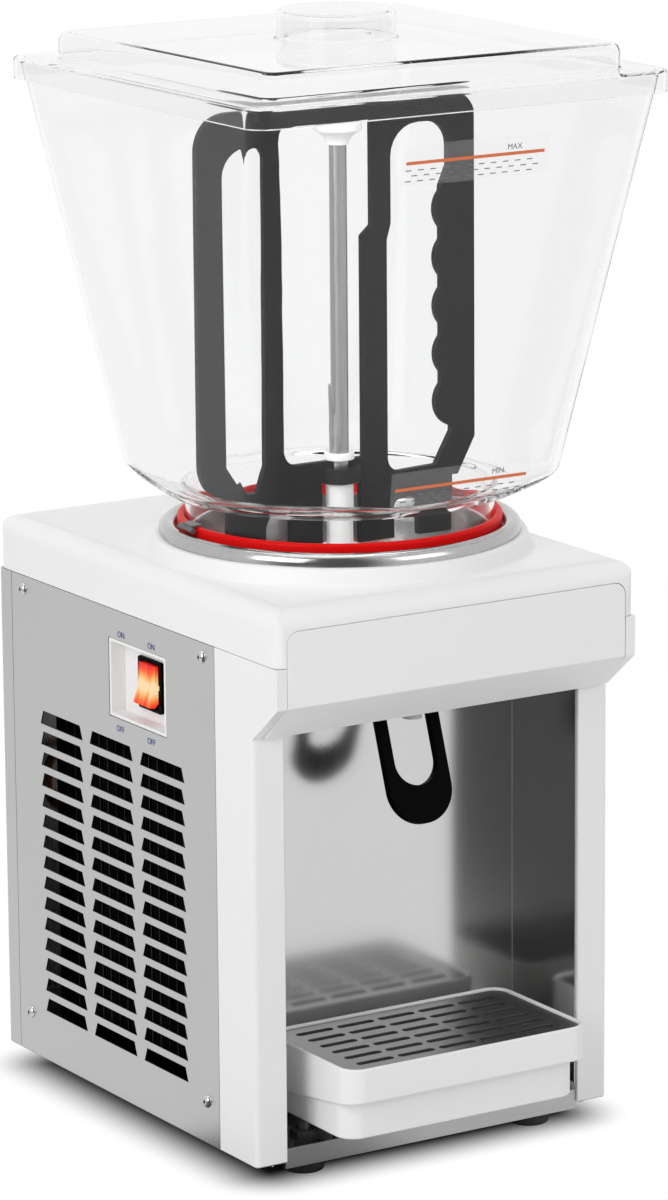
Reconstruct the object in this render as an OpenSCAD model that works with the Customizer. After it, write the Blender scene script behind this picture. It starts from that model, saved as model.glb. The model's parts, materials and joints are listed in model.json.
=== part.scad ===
// Counter-top juice dispenser: chilled cabinet, clear square bowl with a mixing paddle,
// push-lever pinch tap and drip tray. Millimetres, +Z up, the front faces -Y.
// The origin is on the table, under the middle of the whole machine.

/* [Cabinet] */
// Width over the side panels
cab_w = 260; // [240:1:300]
// Depth from the column fronts to the back panel
cab_d = 313; // [300:1:360]
// Height of the side panels
panel_h = 319; // [310:1:360]
// Thickness of the stainless sheet
sheet = 1.2; // [0.8:0.1:2]
// Part of the back panel that shows on each side
back_wrap = 16; // [8:1:30]
// Tongue of the back panel behind the side panels
back_tongue = 20; // [12:1:40]
// Radius of the back panel's bends
back_bend_r = 3; // [2.2:0.1:8]
// Gap between skins that lie on each other
skin_gap = 0.1; // [0.05:0.05:0.3]

/* [Base and feet] */
// Height of the rubber feet under the base pan
foot_h = 12.8; // [6:0.1:16]
// Radius of a foot where it meets the pan
foot_r = 15.5; // [10:0.5:20]
// Radius of a foot on the table
foot_low_r = 13; // [8:0.5:18]
// Distance of the feet from the middle, across
foot_x = 84; // [60:1:95]
// Distance of the front feet behind the column fronts
foot_front = 20; // [16:1:40]
// Distance of the back feet from the back panel
foot_back = 30; // [20:1:60]
// Radius of a foot stud
stud_r = 4; // [3:0.5:6]
// Width across the flats of a stud nut
nut_flats = 15; // [12:0.5:19]
// Height of one stud nut
nut_h = 6; // [4:0.5:8]
// Height of the pan's front lip above the pan floor
lip_up = 7.5; // [4:0.5:12]
// Depth of the pan's front lip below the pan floor
lip_down = 4; // [0:0.1:5]
// Height of the pan's side and back walls
pan_wall = 32; // [32:1:60]

/* [Columns and hood] */
// Width of a column seen from the front
col_w = 22; // [16:0.5:30]
// Depth of a column seen from the side
col_d = 43; // [36:1:60]
// Thickness of the column skin
col_t = 1.6; // [1:0.1:2.5]
// Radius of the column's outer front edge
col_edge_r = 3; // [2.6:0.1:8]
// Depth of the column's inner return
col_return = 20; // [10:1:30]
// How far the hood stands in front of the columns
hood_out = 29.6; // [20:0.2:45]
// Height of the hood's break line below the panel tops
hood_break = 25; // [15:1:35]
// Height of the hood's lower edge below the panel tops
hood_drop = 49; // [40:1:60]
// Thickness of a hood cheek, which shows as the strip beside the fascia
cheek_w = 7; // [4:0.5:14]

/* [Fascia and top cover] */
// Wall of the fascia
fascia_t = 2.5; // [1.5:0.1:4]
// Height of the fascia's top edge above the panel tops
fascia_rise = 22; // [14:1:24]
// Radius of the fascia's top corners
fascia_r = 8; // [2:0.5:14]
// Depth of the fascia's top flange
fascia_flange = 14; // [8:1:18]
// How far the fascia's lower edge stays in front of the columns
fascia_clear = 3; // [1:0.5:8]
// Width of the seams between the moulded covers
seam = 0.4; // [0.2:0.1:0.8]
// Height of the top cover over the panels
cover_h = 35.5; // [30:0.5:50]
// Wall of the top cover
cover_t = 3; // [2:0.1:4]
// Radius of the cover's top edges
cover_edge_r = 13; // [6:0.5:16]
// Radius of the cover's front corners, seen from above
cover_front_r = 7; // [4:0.5:14]
// Radius of the cover's back corners, seen from above
cover_back_r = 8; // [6:0.5:30]
// Height of the raised collar on the cover
collar_h = 11; // [6:0.5:16]
// Radius of the collar at its foot
collar_foot_r = 119.5; // [118:0.5:126]
// Width of the collar's flat top
collar_top_w = 11.3; // [8.5:0.1:12]
// Radius of the fillet at the collar's foot
collar_fillet = 3; // [2:0.5:6]

/* [Alcove] */
// Depth of the cup alcove behind the column fronts
alcove_d = 72; // [64:1:73]
// Height of the liner's lower edge above the pan
liner_low = 12; // [4:1:16]

/* [Louvres] */
// Length of a louvre's upper edge
louvre_top_l = 47.4; // [30:0.1:50]
// Length of a louvre's lower edge
louvre_low_l = 54.4; // [51:0.1:58]
// Height of a louvre opening
louvre_h = 9; // [5:0.5:11]
// Louvre rows on a side panel
louvre_rows = 15; // [4:1:15]
// Louvre columns on a side panel
louvre_cols = 3; // [1:1:3]
// Distance between louvre rows
louvre_step_z = 13.75; // [12:0.25:14]
// Distance between louvre columns
louvre_step_y = 63.3; // [60:0.1:66]
// Middle of the first louvre column behind the column fronts
louvre_first_y = 108; // [104:1:112]
// Lower edge of the lowest louvre row above the panel's lower edge
louvre_low_z = 33; // [20:1:36]

/* [Switch] */
// Length of the switch recess along the cabinet
recess_l = 69.5; // [50:0.5:80]
// Height of the switch recess
recess_h = 50; // [42:0.5:52]
// Depth of the switch recess
recess_depth = 11; // [8:0.5:16]
// Wall of the recess box
recess_t = 2; // [1.5:0.1:3]
// Middle of the recess behind the column fronts
recess_y = 137; // [120:1:150]
// Middle of the recess above the panel's lower edge
recess_z = 275; // [272:1:277]
// Width of the switch bezel
bezel_l = 29; // [27:0.5:34]
// Height of the switch bezel
bezel_h = 33; // [32:0.5:38]
// Thickness of the bezel's rim
bezel_t = 2; // [1:0.1:3]
// Length of the rocker
rocker_h = 26; // [20:0.5:26]
// Width of the rocker
rocker_w = 20.4; // [16:0.1:21]
// Height of the rocker's two crests above its pivot
rocker_crest = 4; // [3:0.1:5]
// Height of the rocker's hollow above its pivot
rocker_dip = 2.4; // [1:0.1:2.8]
// Angle by which the rocker leans at rest
rocker_tilt = 10; // [6:0.5:12]
// Gap round the rocker
rocker_gap = 0.3; // [0.2:0.05:0.6]

/* [Evaporator] */
// Middle of the bowl behind the column fronts
bowl_y = 106; // [105:0.5:112]
// Outer radius of the steel ring
ring_r = 113.3; // [112:0.1:114]
// Height of the steel ring over the collar
ring_h = 8; // [4:0.5:10]
// Inner radius of the evaporator dish
dish_r = 92; // [90:0.1:93]
// Depth of the dish below the bowl's seat
dish_depth = 15; // [12:0.5:16]
// Wall of the dish
dish_t = 1.5; // [1:0.1:2]
// Outer radius of the bowl's neck
neck_r = 96.6; // [95:0.1:98]
// Wall of the bowl's neck
neck_t = 3; // [2:0.1:3.4]
// Width of the red seal around the neck
seal_w = 4.7; // [3:0.1:5.5]
// Height of the red seal
seal_h = 9.5; // [8:0.5:13]
// Gap between the neck and the seal
seal_gap = 0.3; // [0.2:0.05:0.5]
// Height of the bowl's seat above the collar
seat_rise = 2.5; // [2:0.1:3]

/* [Bowl] */
// Outer width of the bowl at its rim
bowl_top_w = 293; // [280:1:310]
// Outer width of the bowl at the foot of its walls
bowl_low_w = 225; // [222:1:240]
// Corner radius at the rim
bowl_top_r = 18; // [12:1:30]
// Corner radius at the foot of the walls
bowl_low_r = 50; // [30:1:60]
// Height of the neck under the bowl
neck_h = 25; // [23:0.5:34]
// Height of the rounded foot of the bowl
bowl_round = 16; // [14:0.5:30]
// Height of the bowl above its neck
bowl_h = 262; // [250:1:300]
// Wall of the bowl
bowl_t = 3.5; // [2.5:0.1:5]

/* [Lid] */
// Height of the lid's skirt
lid_skirt = 14; // [8:0.5:20]
// Wall of the lid
lid_t = 2.5; // [1.8:0.1:4]
// Gap between the lid's skirt and the bowl
lid_gap = 0.5; // [0.3:0.1:1]
// Gap between the lid and the bowl's rim
rest_gap = 0.3; // [0.2:0.05:0.5]
// Width of the raised middle of the lid
lid_mid_w = 256; // [220:1:266]
// Height of the raised middle of the lid
lid_mid_h = 15.5; // [8:0.5:24]
// Radius of the lid's knob
knob_r = 36.7; // [24:0.1:50]
// Height of the lid's knob
knob_h = 17.4; // [10:0.2:30]

/* [Agitator] */
// Half of the paddle's width
paddle_half = 101; // [96:0.5:103]
// Thickness of the paddle plate
paddle_t = 5; // [3:0.5:8]
// Height of the paddle's top above the dish floor
paddle_top = 281; // [270:1:284]
// Gap between the paddle and the dish floor
paddle_gap = 3; // [2:0.5:6]
// Half of the width of the paddle's skirt in the dish
skirt_half = 82; // [70:0.5:86]
// Radius of the steel rod
rod_r = 5.5; // [4:0.1:6]
// Radius of the paddle's hub
hub_r = 13; // [11:0.5:18]
// Height of the paddle's hub
hub_h = 9; // [6:0.5:12]
// Height of the white pipe around the rod above the dish floor
pipe_h = 42; // [36:0.5:44]
// Outer radius of the white pipe
pipe_r = 8.3; // [7.2:0.1:10]
// Running gap around the rod
run_gap = 0.05; // [0.02:0.01:0.1]
// Radius of the cap on top of the rod
cap_r = 15; // [11:0.5:20]
// Height of the cap on top of the rod
cap_h = 15; // [10:0.5:20]
// Radius of the white collar over the hub
hub_collar_r = 9; // [7:0.5:12]
// Height of the white collar over the hub
hub_collar_h = 4.5; // [3:0.5:8]

/* [Tap] */
// Place of the outlet tube behind the column fronts
tap_y = 24; // [20:0.5:26]
// Outer radius of the outlet tube
tube_r = 6; // [5:0.1:7]
// Bore radius of the outlet tube
tube_bore_r = 4; // [3:0.1:4.5]
// How far the outlet tube hangs below the hood
tube_below = 9; // [4:0.5:16]
// Thickness of the outlet tube where it is pinched shut
pinch_t = 4; // [3:0.1:5]
// Height of the pinch above the lever's pivot
pinch_up = 16; // [14:0.5:16.5]
// Lever pivot behind the outlet tube
pivot_back = 18; // [14:0.5:20]
// Lever pivot below the deck
pivot_drop = 24; // [23:0.5:27]
// Radius of the lever's pivot pin
pin_r = 3; // [2:0.1:4]
// Length of the lever from its pivot to its lower end
lever_l = 100; // [80:1:106]
// Outer width of the lever loop
lever_w = 45; // [42:0.5:60]
// Width of a lever arm
lever_arm = 7; // [6:0.5:11]
// Thickness of the lever's plate
lever_t = 5.5; // [5:0.5:12]
// Length of the solid end of the loop
lever_end = 24; // [14:0.5:30]
// Angle by which the lever leans forwards at rest
lever_lean = 19; // [5:0.1:22]
// Radius of the pinch bar
bar_r = 3; // [2:0.1:4]
// Gap between the pinch bar and the outlet tube
bar_gap = 0.3; // [0.2:0.05:0.5]
// Radius of the outlet tube's squeezed waist
waist_r = 12; // [11:0.5:16]
// Wire radius of the lever's return spring
wire_r = 0.7; // [0.4:0.1:1]
// Turns of the lever's return spring
spring_turns = 8; // [4:1:10]

/* [Drip tray] */
// Width of the tray
tray_w = 178; // [150:1:190]
// Distance of the tray's front before the column fronts
tray_front = 42; // [20:1:48]
// Distance of the tray's back behind the column fronts
tray_back = 60; // [50:1:62]
// Height of the tray's underside above the table
tray_z = 31.5; // [30:0.5:38]
// Height of the tray
tray_h = 47.5; // [40:0.5:56]
// Height of the tray's upper band at the front
band_h = 22; // [16:0.5:28]
// Height of the tray's upper band at the back
band_back_h = 36; // [22:0.5:38]
// How far the lower front is set back under the band
band_step = 9; // [2:0.5:12]
// How far the lower sides are set in under the band
band_side = 3.5; // [0.5:0.1:4.5]
// Corner radius of the tray
tray_r = 13; // [8:0.5:16]
// Wall of the tray
tray_t = 2.5; // [2:0.1:4]
// Depth of the grille's top below the tray's rim
grille_sunk = 1.5; // [1:0.5:8]
// Thickness of the grille
grille_t = 2; // [1:0.1:3]
// Gap around the grille
grille_gap = 0.6; // [0.4:0.1:1.2]
// Width of the grille's seat inside the tray
grille_seat = 3; // [2:0.5:5]
// Length of a drain slot
drain_l = 26.5; // [20:0.5:28]
// Width of a drain slot
drain_w = 5.5; // [3:0.1:8]
// Distance between drain slots across
drain_step_x = 30.1; // [29:0.1:33]
// Distance between drain rows
drain_step_y = 14; // [10:0.5:15]
// Drain slots in a row
drain_cols = 5; // [2:1:5]
// Rows of drain slots
drain_rows = 6; // [2:1:6]

/* [Cooling and drive] */
// Radius of the compressor's shell
comp_r = 58; // [50:0.5:60]
// Height of the compressor's shell
comp_h = 150; // [120:1:170]
// Height of the compressor's rubber mounts
comp_lift = 14; // [10:0.5:20]
// Compressor behind the column fronts
comp_y = 205; // [200:1:215]
// Compressor from the middle, across
comp_x = 56; // [52:1:60]
// Length of the condenser along the cabinet
cond_l = 180; // [150:1:182]
// Height of the condenser
cond_h = 232; // [200:1:236]
// Thickness of the condenser
cond_t = 28; // [20:0.5:32]
// Condenser fins
cond_fins = 16; // [6:1:20]
// Radius of the fan
fan_r = 58; // [45:0.5:60]
// Radius of the fan motor
fan_motor_r = 25; // [20:0.5:30]
// Blades of the fan
fan_blades = 5; // [3:1:7]
// Width of the agitator's gearbox
gear_w = 58; // [50:0.5:60]
// Height of the agitator's gearbox
gear_h = 34; // [28:0.5:40]
// Radius of the agitator's motor
motor_r = 24; // [20:0.5:27]
// Length of the agitator's motor
motor_l = 60; // [40:1:80]
// Radius of the gearbox's output shaft
drive_r = 5; // [4:0.1:6]
// Radius of the drive coupling
dog_r = 12; // [10:0.5:14]
// Thickness of the rod's driving tang
tang_t = 6; // [4:0.1:7]
// Gap around the driving tang
tang_gap = 0.3; // [0.2:0.05:0.5]
// Radius of the refrigerant pipes
pipe_tube_r = 3.2; // [2.5:0.1:4]
// Radius of the cord gland on the back panel
gland_r = 11; // [8:0.5:14]
// Bore radius of the cord gland
gland_bore_r = 4.5; // [3:0.1:6]
// How far the cord gland stands out of the back panel
gland_out = 7; // [4:0.5:12]

/* [Screws] */
// Radius of a panel screw's head
screw_head_r = 4.2; // [3:0.1:5]
// Height of a panel screw's head
screw_head_h = 2.2; // [1.5:0.1:3]
// Radius of a panel screw's shank
screw_r = 2; // [1.5:0.1:2.5]
// Length of a panel screw's shank
screw_l = 7; // [4:0.5:12]
// Panel screws from the panel's front and back edges
screw_edge = 15; // [10:0.5:19]
// Lower panel screws above the panel's lower edge
screw_low = 27; // [20:0.5:30]
// Upper panel screws below the panel's upper edge
screw_high = 9; // [7:0.5:12]
// Column screws from the column's outer face
column_screw_in = 15; // [8:0.5:15]
// Column screws behind the column fronts
column_screw_y = 8; // [7:0.5:14]

/* [Hidden] */
$fn = 64;

stainless = "Silver";
white = "WhiteSmoke";
black = "DimGray";
rubber = "Black";
copper = "Peru";
clear = [0.85, 0.9, 0.92, 0.35];

// Heights above the table
pan_top = foot_h + sheet;
panel_lift = pan_top;
panel_top = panel_lift + panel_h;
hood_break_z = panel_top - hood_break;
hood_low_z = panel_top - hood_drop;
fascia_top = panel_top + fascia_rise;
cover_top = panel_top + cover_h;
collar_top = cover_top + collar_h;
ring_top = collar_top + ring_h;
seat_z = collar_top + seat_rise;
dish_floor = seat_z - dish_depth;
dish_under = dish_floor - dish_t;
bowl_floor = seat_z + rest_gap + neck_h;
bowl_rim = bowl_floor + bowl_h;
lid_under = bowl_rim + rest_gap;
lid_flange = lid_under + lid_t;
lid_top = lid_flange + lid_mid_h;
knob_top = lid_top + knob_h;
deck_t = 1.5;
deck_drop = 2.5;
deck_top = panel_top - deck_drop;
deck_under = deck_top - deck_t;

// Widths and depths
half_w = cab_w / 2;
lid_w = bowl_top_w + 2 * (lid_gap + lid_t);
inner_half = half_w - max(sheet, col_t) - skin_gap;
fascia_half = half_w - cheek_w - seam;
alcove_half = half_w - col_w - skin_gap - sheet;
panel_front = col_d + seam;
panel_back = cab_d - back_wrap - seam;

// The whole machine reaches from the lid's front edge to the cord gland
reach_front = min(bowl_y - lid_w / 2, -tray_front);
col_y = -(reach_front + cab_d + gland_out) / 2;

// Puts children where y = 0 is the front of the columns
module from_front() {
    translate([0, col_y, 0]) children();
}

// Puts children on the bowl's axis
module on_axis(z = 0) {
    from_front() translate([0, bowl_y, z]) children();
}

// Extrusions of an (y, z), (x, z) and (x, y) outline
module along_x(x0, x1) {
    translate([x0, 0, 0]) rotate([90, 0, 90]) linear_extrude(x1 - x0) children();
}

module along_y(y0, y1) {
    translate([0, y1, 0]) rotate([90, 0, 0]) linear_extrude(y1 - y0) children();
}

module along_z(z0, z1) {
    translate([0, 0, z0]) linear_extrude(z1 - z0) children();
}

// Round bars along X and Y
module bar_x(x0, x1, r) {
    translate([x0, 0, 0]) rotate([0, 90, 0]) cylinder(h = x1 - x0, r = r);
}

module bar_y(y0, y1, r) {
    translate([0, y0, 0]) rotate([-90, 0, 0]) cylinder(h = y1 - y0, r = r);
}

// Rectangle with a radius at each corner, anticlockwise from the lower left
module soft_rect(x0, x1, y0, y1, r) {
    corners = [[x0, y0, 1, 1], [x1, y0, -1, 1], [x1, y1, -1, -1], [x0, y1, 1, -1]];
    over = 1;
    difference() {
        translate([x0, y0]) square([x1 - x0, y1 - y0]);
        for (i = [0 : 3]) if (r[i] > 0) {
            c = corners[i];
            side = r[i] + over;
            translate([c[0] + c[2] * r[i], c[1] + c[3] * r[i]]) difference() {
                translate([c[2] > 0 ? -side : 0, c[3] > 0 ? -side : 0]) square(side);
                circle(r[i]);
            }
        }
    }
}

// Square of width w with equal corners, around the origin
module soft_square(w, r) {
    soft_rect(-w / 2, w / 2, -w / 2, w / 2, [r, r, r, r]);
}

// Slot with round ends along X
module slot_x(l, w) {
    square([l - w, w], center = true);
    for (s = [-1, 1]) translate([s * (l - w) / 2, 0]) circle(w / 2);
}

function arc(cx, cy, r, a0, a1, steps = 6) =
    [for (i = [0 : steps]) let (a = a0 + (a1 - a0) * i / steps) [cx + r * cos(a), cy + r * sin(a)]];

// Base pan, open at the front above its lip
pan_half = half_w - sheet - skin_gap;
pan_front = col_t + skin_gap;
pan_back = cab_d - sheet - skin_gap;
foot_places = [for (sx = [-1, 1], y = [foot_front, cab_d - foot_back]) [sx * foot_x, y]];
lip_half = half_w - col_w - skin_gap;

module base_plate() {
    wall_front = col_d + seam;
    color(stainless) from_front() difference() {
        union() {
            along_z(foot_h, pan_top) translate([-pan_half, pan_front])
                square([2 * pan_half, pan_back - pan_front]);
            along_z(foot_h - lip_down, pan_top + lip_up)
                translate([-lip_half, pan_front]) square([2 * lip_half, sheet]);
            along_z(foot_h, foot_h + pan_wall) {
                for (x = [-pan_half, pan_half - sheet])
                    translate([x, wall_front]) square([sheet, pan_back - back_bend_r - wall_front]);
                translate([back_bend_r - pan_half, pan_back - sheet])
                    square([2 * (pan_half - back_bend_r), sheet]);
            }
        }
        for (p = foot_places) translate([p[0], p[1], foot_h - 1]) cylinder(h = sheet + 2, r = stud_r);
        screw_holes();
        for (s = [-1, 1]) translate([s * (half_w - column_screw_in), column_screw_y, foot_h - 1])
            cylinder(h = sheet + 2, r = screw_r);
    }
}

module rubber_feet() {
    recess = 2.5;
    color(rubber) from_front() for (p = foot_places) translate([p[0], p[1], 0]) rotate_extrude()
        polygon(concat([[stud_r, foot_h], [stud_r, recess], [0, recess], [0, 0]],
            arc(foot_low_r - 2, 2, 2, -90, 0, 4), [[foot_r, foot_h]]));
}

module foot_studs() {
    low = 2.5;
    tip = 5;
    color("Gray") from_front() for (p = foot_places) translate([p[0], p[1], 0]) {
        translate([0, 0, low]) cylinder(h = pan_top + 2 * nut_h + tip - low, r = stud_r);
        for (i = [0, 1]) translate([0, 0, pan_top + i * nut_h]) rotate(15 + 20 * i)
            cylinder(h = nut_h - 0.2, d = nut_flats / cos(30), $fn = 6);
        translate([0, 0, pan_top]) cylinder(h = 2 * nut_h - 0.2, r = stud_r + 1);
    }
}

// Panel screws sit at the corners of each side panel
screw_ys = [panel_front + screw_edge, panel_back - screw_edge + seam];
screw_zs = [panel_lift + screw_low, panel_top - screw_high];

module screw_holes() {
    for (y = screw_ys, z = screw_zs) translate([0, y, z]) bar_x(-half_w - 1, half_w + 1, screw_r);
}

// Stainless side panel with louvres, its outer face towards -X
module side_panel() {
    along_x(-half_w, -half_w + sheet) difference() {
        translate([panel_front, panel_lift]) square([panel_back - panel_front, panel_h]);
        for (c = [0 : louvre_cols - 1], r = [0 : louvre_rows - 1])
            translate([louvre_first_y + c * louvre_step_y, panel_lift + louvre_low_z + r * louvre_step_z])
                polygon([[-louvre_low_l / 2, 0], [louvre_low_l / 2, 0],
                         [louvre_top_l / 2, louvre_h], [-louvre_top_l / 2, louvre_h]]);
        for (y = screw_ys, z = screw_zs) translate([y, z]) circle(screw_r);
    }
}

module side_panel_left() {
    gap = 0.5;
    color(stainless) from_front() difference() {
        side_panel();
        translate([-half_w - 1, recess_y - recess_l / 2 - gap, panel_lift + recess_z - recess_h / 2 - gap])
            cube([sheet + 2, recess_l + 2 * gap, recess_h + 2 * gap]);
    }
}

module side_panel_right() {
    color(stainless) from_front() mirror([1, 0, 0]) side_panel();
}

// Back panel: a plate whose bent sides show beside the side panels and run on behind them
vent_rows = 9;
vent_l = 150;
vent_w = 7;
vent_step = 16;
gland_x = 88;
gland_z = pan_top + pan_wall + gland_r + 5;

module back_panel() {
    tongue_x = half_w - sheet - skin_gap;
    color(stainless) from_front() difference() {
        union() {
            along_z(panel_lift, panel_top) difference() {
                soft_rect(-half_w, half_w, cab_d - back_wrap, cab_d, [0, 0, back_bend_r, back_bend_r]);
                soft_rect(-half_w + sheet, half_w - sheet, cab_d - back_wrap - 1, cab_d - sheet,
                    [0, 0, back_bend_r - sheet, back_bend_r - sheet]);
            }
            for (s = [-1, 1]) along_z(foot_h + pan_wall + 1, panel_top)
                translate([s > 0 ? tongue_x - sheet : -tongue_x, panel_back - back_tongue])
                    square([sheet, back_tongue + back_wrap / 2 + seam + sheet]);
            for (s = [-1, 1]) along_z(foot_h + pan_wall + 1, panel_top)
                translate([s > 0 ? tongue_x - sheet : -half_w + sheet / 2, cab_d - back_wrap / 2])
                    square([half_w - tongue_x + sheet / 2, sheet]);
        }
        for (i = [0 : vent_rows - 1])
            translate([0, 0, panel_lift + panel_h / 2 + (i - (vent_rows - 1) / 2) * vent_step])
                along_y(cab_d - sheet - 1, cab_d + 1) slot_x(vent_l, vent_w);
        translate([gland_x, 0, gland_z]) bar_y(cab_d - sheet - 1, cab_d + 1, gland_r - 2);
        screw_holes();
    }
}

// White column with the hood cheek on top, its outer face towards +X
module column() {
    inner = half_w - col_w;
    along_z(panel_lift, panel_top) difference() {
        soft_rect(inner, half_w, 0, col_d, [0, col_edge_r, 0, 0]);
        soft_rect(inner + col_t, half_w - col_t, col_t, col_d + 1, [0, col_edge_r - col_t, 0, 0]);
        translate([inner - 1, col_return]) square([col_t + 2, col_d]);
    }
    along_z(panel_lift, panel_lift + col_t) difference() {
        translate([inner + col_t / 2, col_t / 2]) square([col_w - col_t, col_return - col_t]);
        translate([half_w - column_screw_in, column_screw_y]) circle(screw_r);
    }
    along_x(half_w - cheek_w, half_w) polygon([[col_t, panel_top], [-hood_out, panel_top],
        [-hood_out, hood_break_z], [0, hood_low_z], [col_t, hood_low_z]]);
}

module column_right() {
    color(white) from_front() column();
}

module column_left() {
    color(white) from_front() mirror([1, 0, 0]) column();
}

module alcove_liner() {
    low = pan_top + liner_low;
    high = deck_under - 3;
    out = alcove_half + sheet;
    color(stainless) from_front() along_z(low, high) difference() {
        soft_rect(-out, out, col_t + skin_gap, alcove_d + sheet, [0, 0, 2, 2]);
        translate([-alcove_half, 0]) square([2 * alcove_half, alcove_d]);
    }
}

// Inner deck that carries the evaporator, the drive and the tap
deck_back = panel_back - back_tongue - 2;

module deck_plate() {
    flange = 10;
    color("LightGray") from_front() difference() {
        union() {
            along_z(deck_under, deck_top) {
                translate([-inner_half, col_return + 2])
                    square([2 * inner_half, deck_back - col_return - 2]);
                translate([-alcove_half, col_t + 2]) square([2 * alcove_half, col_return + 2]);
            }
            for (x = [-pan_half, pan_half - sheet]) along_z(deck_top - flange, deck_top)
                translate([x, col_d + seam]) square([sheet, deck_back - col_d - seam]);
        }
        translate([0, tap_y, deck_under - 1]) cylinder(h = deck_t + 2, r = tube_r + 1);
        translate([0, bowl_y, deck_under - 1]) cylinder(h = deck_t + 2, r = drive_r + 1.5);
        translate([suction_x, suction_y, deck_under - 1]) cylinder(h = deck_t + 2, r = pipe_tube_r + 0.5);
        screw_holes();
    }
}

// Moulded cover body: three crossed outlines give its rounded edges
module cover_form(in, low) {
    x = half_w - in;
    y0 = -hood_out + in;
    y1 = cab_d - in;
    top = cover_top - in;
    edge = cover_edge_r - in;
    intersection() {
        along_z(low, top) soft_rect(-x, x, y0, y1,
            [cover_front_r - in, cover_front_r - in, cover_back_r - in, cover_back_r - in]);
        along_y(y0 - 1, y1 + 1) soft_rect(-x, x, low - 1, top, [0, 0, edge, edge]);
        along_x(-x - 1, x + 1) soft_rect(y0, y1, low - 1, top, [0, 0, edge, edge]);
    }
}

collar_slope = 13.5;
collar_in_r = collar_foot_r - collar_slope;

module top_cover() {
    low = panel_top + seam;
    wall_under = cover_top - cover_t;
    top_r = collar_in_r + collar_top_w;
    round_r = 2;
    fillet = arc(collar_foot_r + collar_fillet, cover_top + collar_fillet, collar_fillet, 180, 270, 5);
    color(white) from_front() difference() {
        union() {
            difference() {
                cover_form(0, low);
                cover_form(cover_t, low - 2);
            }
            translate([0, bowl_y, 0]) rotate_extrude() polygon(concat(
                [[collar_in_r, wall_under], [collar_in_r, collar_top]],
                arc(top_r - round_r, collar_top - round_r, round_r, 90, 20, 4),
                fillet,
                [[collar_foot_r + collar_fillet, wall_under]]));
        }
        translate([0, bowl_y, wall_under - 1]) cylinder(h = collar_h + cover_t + 2, r = collar_in_r);
        along_y(-hood_out - 1, -hood_out + cover_t + 0.5)
            soft_rect(-fascia_half - seam, fascia_half + seam, low - 3, fascia_top + seam,
                [0, 0, fascia_r + seam, fascia_r + seam]);
    }
}

// Fascia: one bent wall, upright above the break line and sloping back below it
module front_fascia() {
    slope = atan2(hood_break_z - hood_low_z, hood_out - fascia_clear);
    normal = [sin(slope), cos(slope)] * fascia_t;
    run = fascia_t * (1 - sin(slope)) / cos(slope);
    low_edge = [-fascia_clear, hood_low_z];
    inner_break = [-hood_out + fascia_t, hood_break_z + normal[1] - run * sin(slope)];
    color(white) from_front() intersection() {
        along_x(-fascia_half, fascia_half) polygon([
            [-hood_out, fascia_top], [-hood_out, hood_break_z], low_edge, low_edge + normal, inner_break,
            [-hood_out + fascia_t, fascia_top - fascia_t],
            [-hood_out + fascia_flange, fascia_top - fascia_t], [-hood_out + fascia_flange, fascia_top]]);
        along_y(-hood_out - 1, col_d) soft_rect(-fascia_half, fascia_half, hood_low_z - 1, fascia_top,
            [0, 0, fascia_r, fascia_r]);
    }
}

// Round-headed screw whose head stands up from z = 0
module round_screw() {
    dome = 5;
    rotate_extrude() polygon(concat([[0, -screw_l], [screw_r, -screw_l], [screw_r, 0], [screw_head_r, 0]],
        [for (i = [1 : dome]) let (a = 90 * i / dome) [screw_head_r * cos(a), screw_head_h * sin(a)]]));
}

module panel_screws() {
    color("Gainsboro") from_front() for (s = [-1, 1], y = screw_ys, z = screw_zs)
        translate([s * half_w, y, z]) rotate([0, s * 90, 0]) round_screw();
}

module column_screws() {
    color("Gainsboro") from_front() for (s = [-1, 1])
        translate([s * (half_w - column_screw_in), column_screw_y, foot_h])
            rotate([180, 0, 0]) round_screw();
}

// Switch recess: a white box let into the left panel
recess_mid_z = panel_lift + recess_z;
recess_wall = -half_w + recess_depth;
switch_open_w = rocker_w + 2 * rocker_gap;
switch_open_h = rocker_h + 2.4;
switch_body_l = switch_open_w + 3;
switch_body_h = switch_open_h + 2;

module at_recess() {
    from_front() translate([0, recess_y, recess_mid_z]) children();
}

module switch_box() {
    flange = 6;
    behind = -half_w + sheet + skin_gap;
    color(white) at_recess() difference() {
        union() {
            along_x(-half_w, recess_wall + recess_t) square([recess_l, recess_h], center = true);
            along_x(behind, behind + recess_t)
                square([recess_l + 2 * flange, recess_h + 2 * flange], center = true);
        }
        along_x(-half_w - 1, recess_wall)
            square([recess_l - 2 * recess_t, recess_h - 2 * recess_t], center = true);
        along_x(recess_wall - 1, recess_wall + recess_t + 1)
            square([switch_body_l, switch_body_h], center = true);
    }
}

// Rocker switch: the pivot lies in the plane of the bezel's face
pivot_x = recess_wall - bezel_t;
axle_r = 1.5;
axle_l = 1.2;

module switch_bezel() {
    well = 9;
    body = 22;
    color(rubber) at_recess() difference() {
        union() {
            along_x(pivot_x, recess_wall)
                soft_rect(-bezel_l / 2, bezel_l / 2, -bezel_h / 2, bezel_h / 2, [2, 2, 2, 2]);
            along_x(recess_wall - 0.5, recess_wall + body)
                square([switch_body_l, switch_body_h], center = true);
        }
        along_x(pivot_x - 1, pivot_x + well) square([switch_open_w, switch_open_h], center = true);
        translate([pivot_x, 0, 0])
            bar_y(-switch_open_w / 2 - axle_l, switch_open_w / 2 + axle_l, axle_r + run_gap);
    }
}

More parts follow.
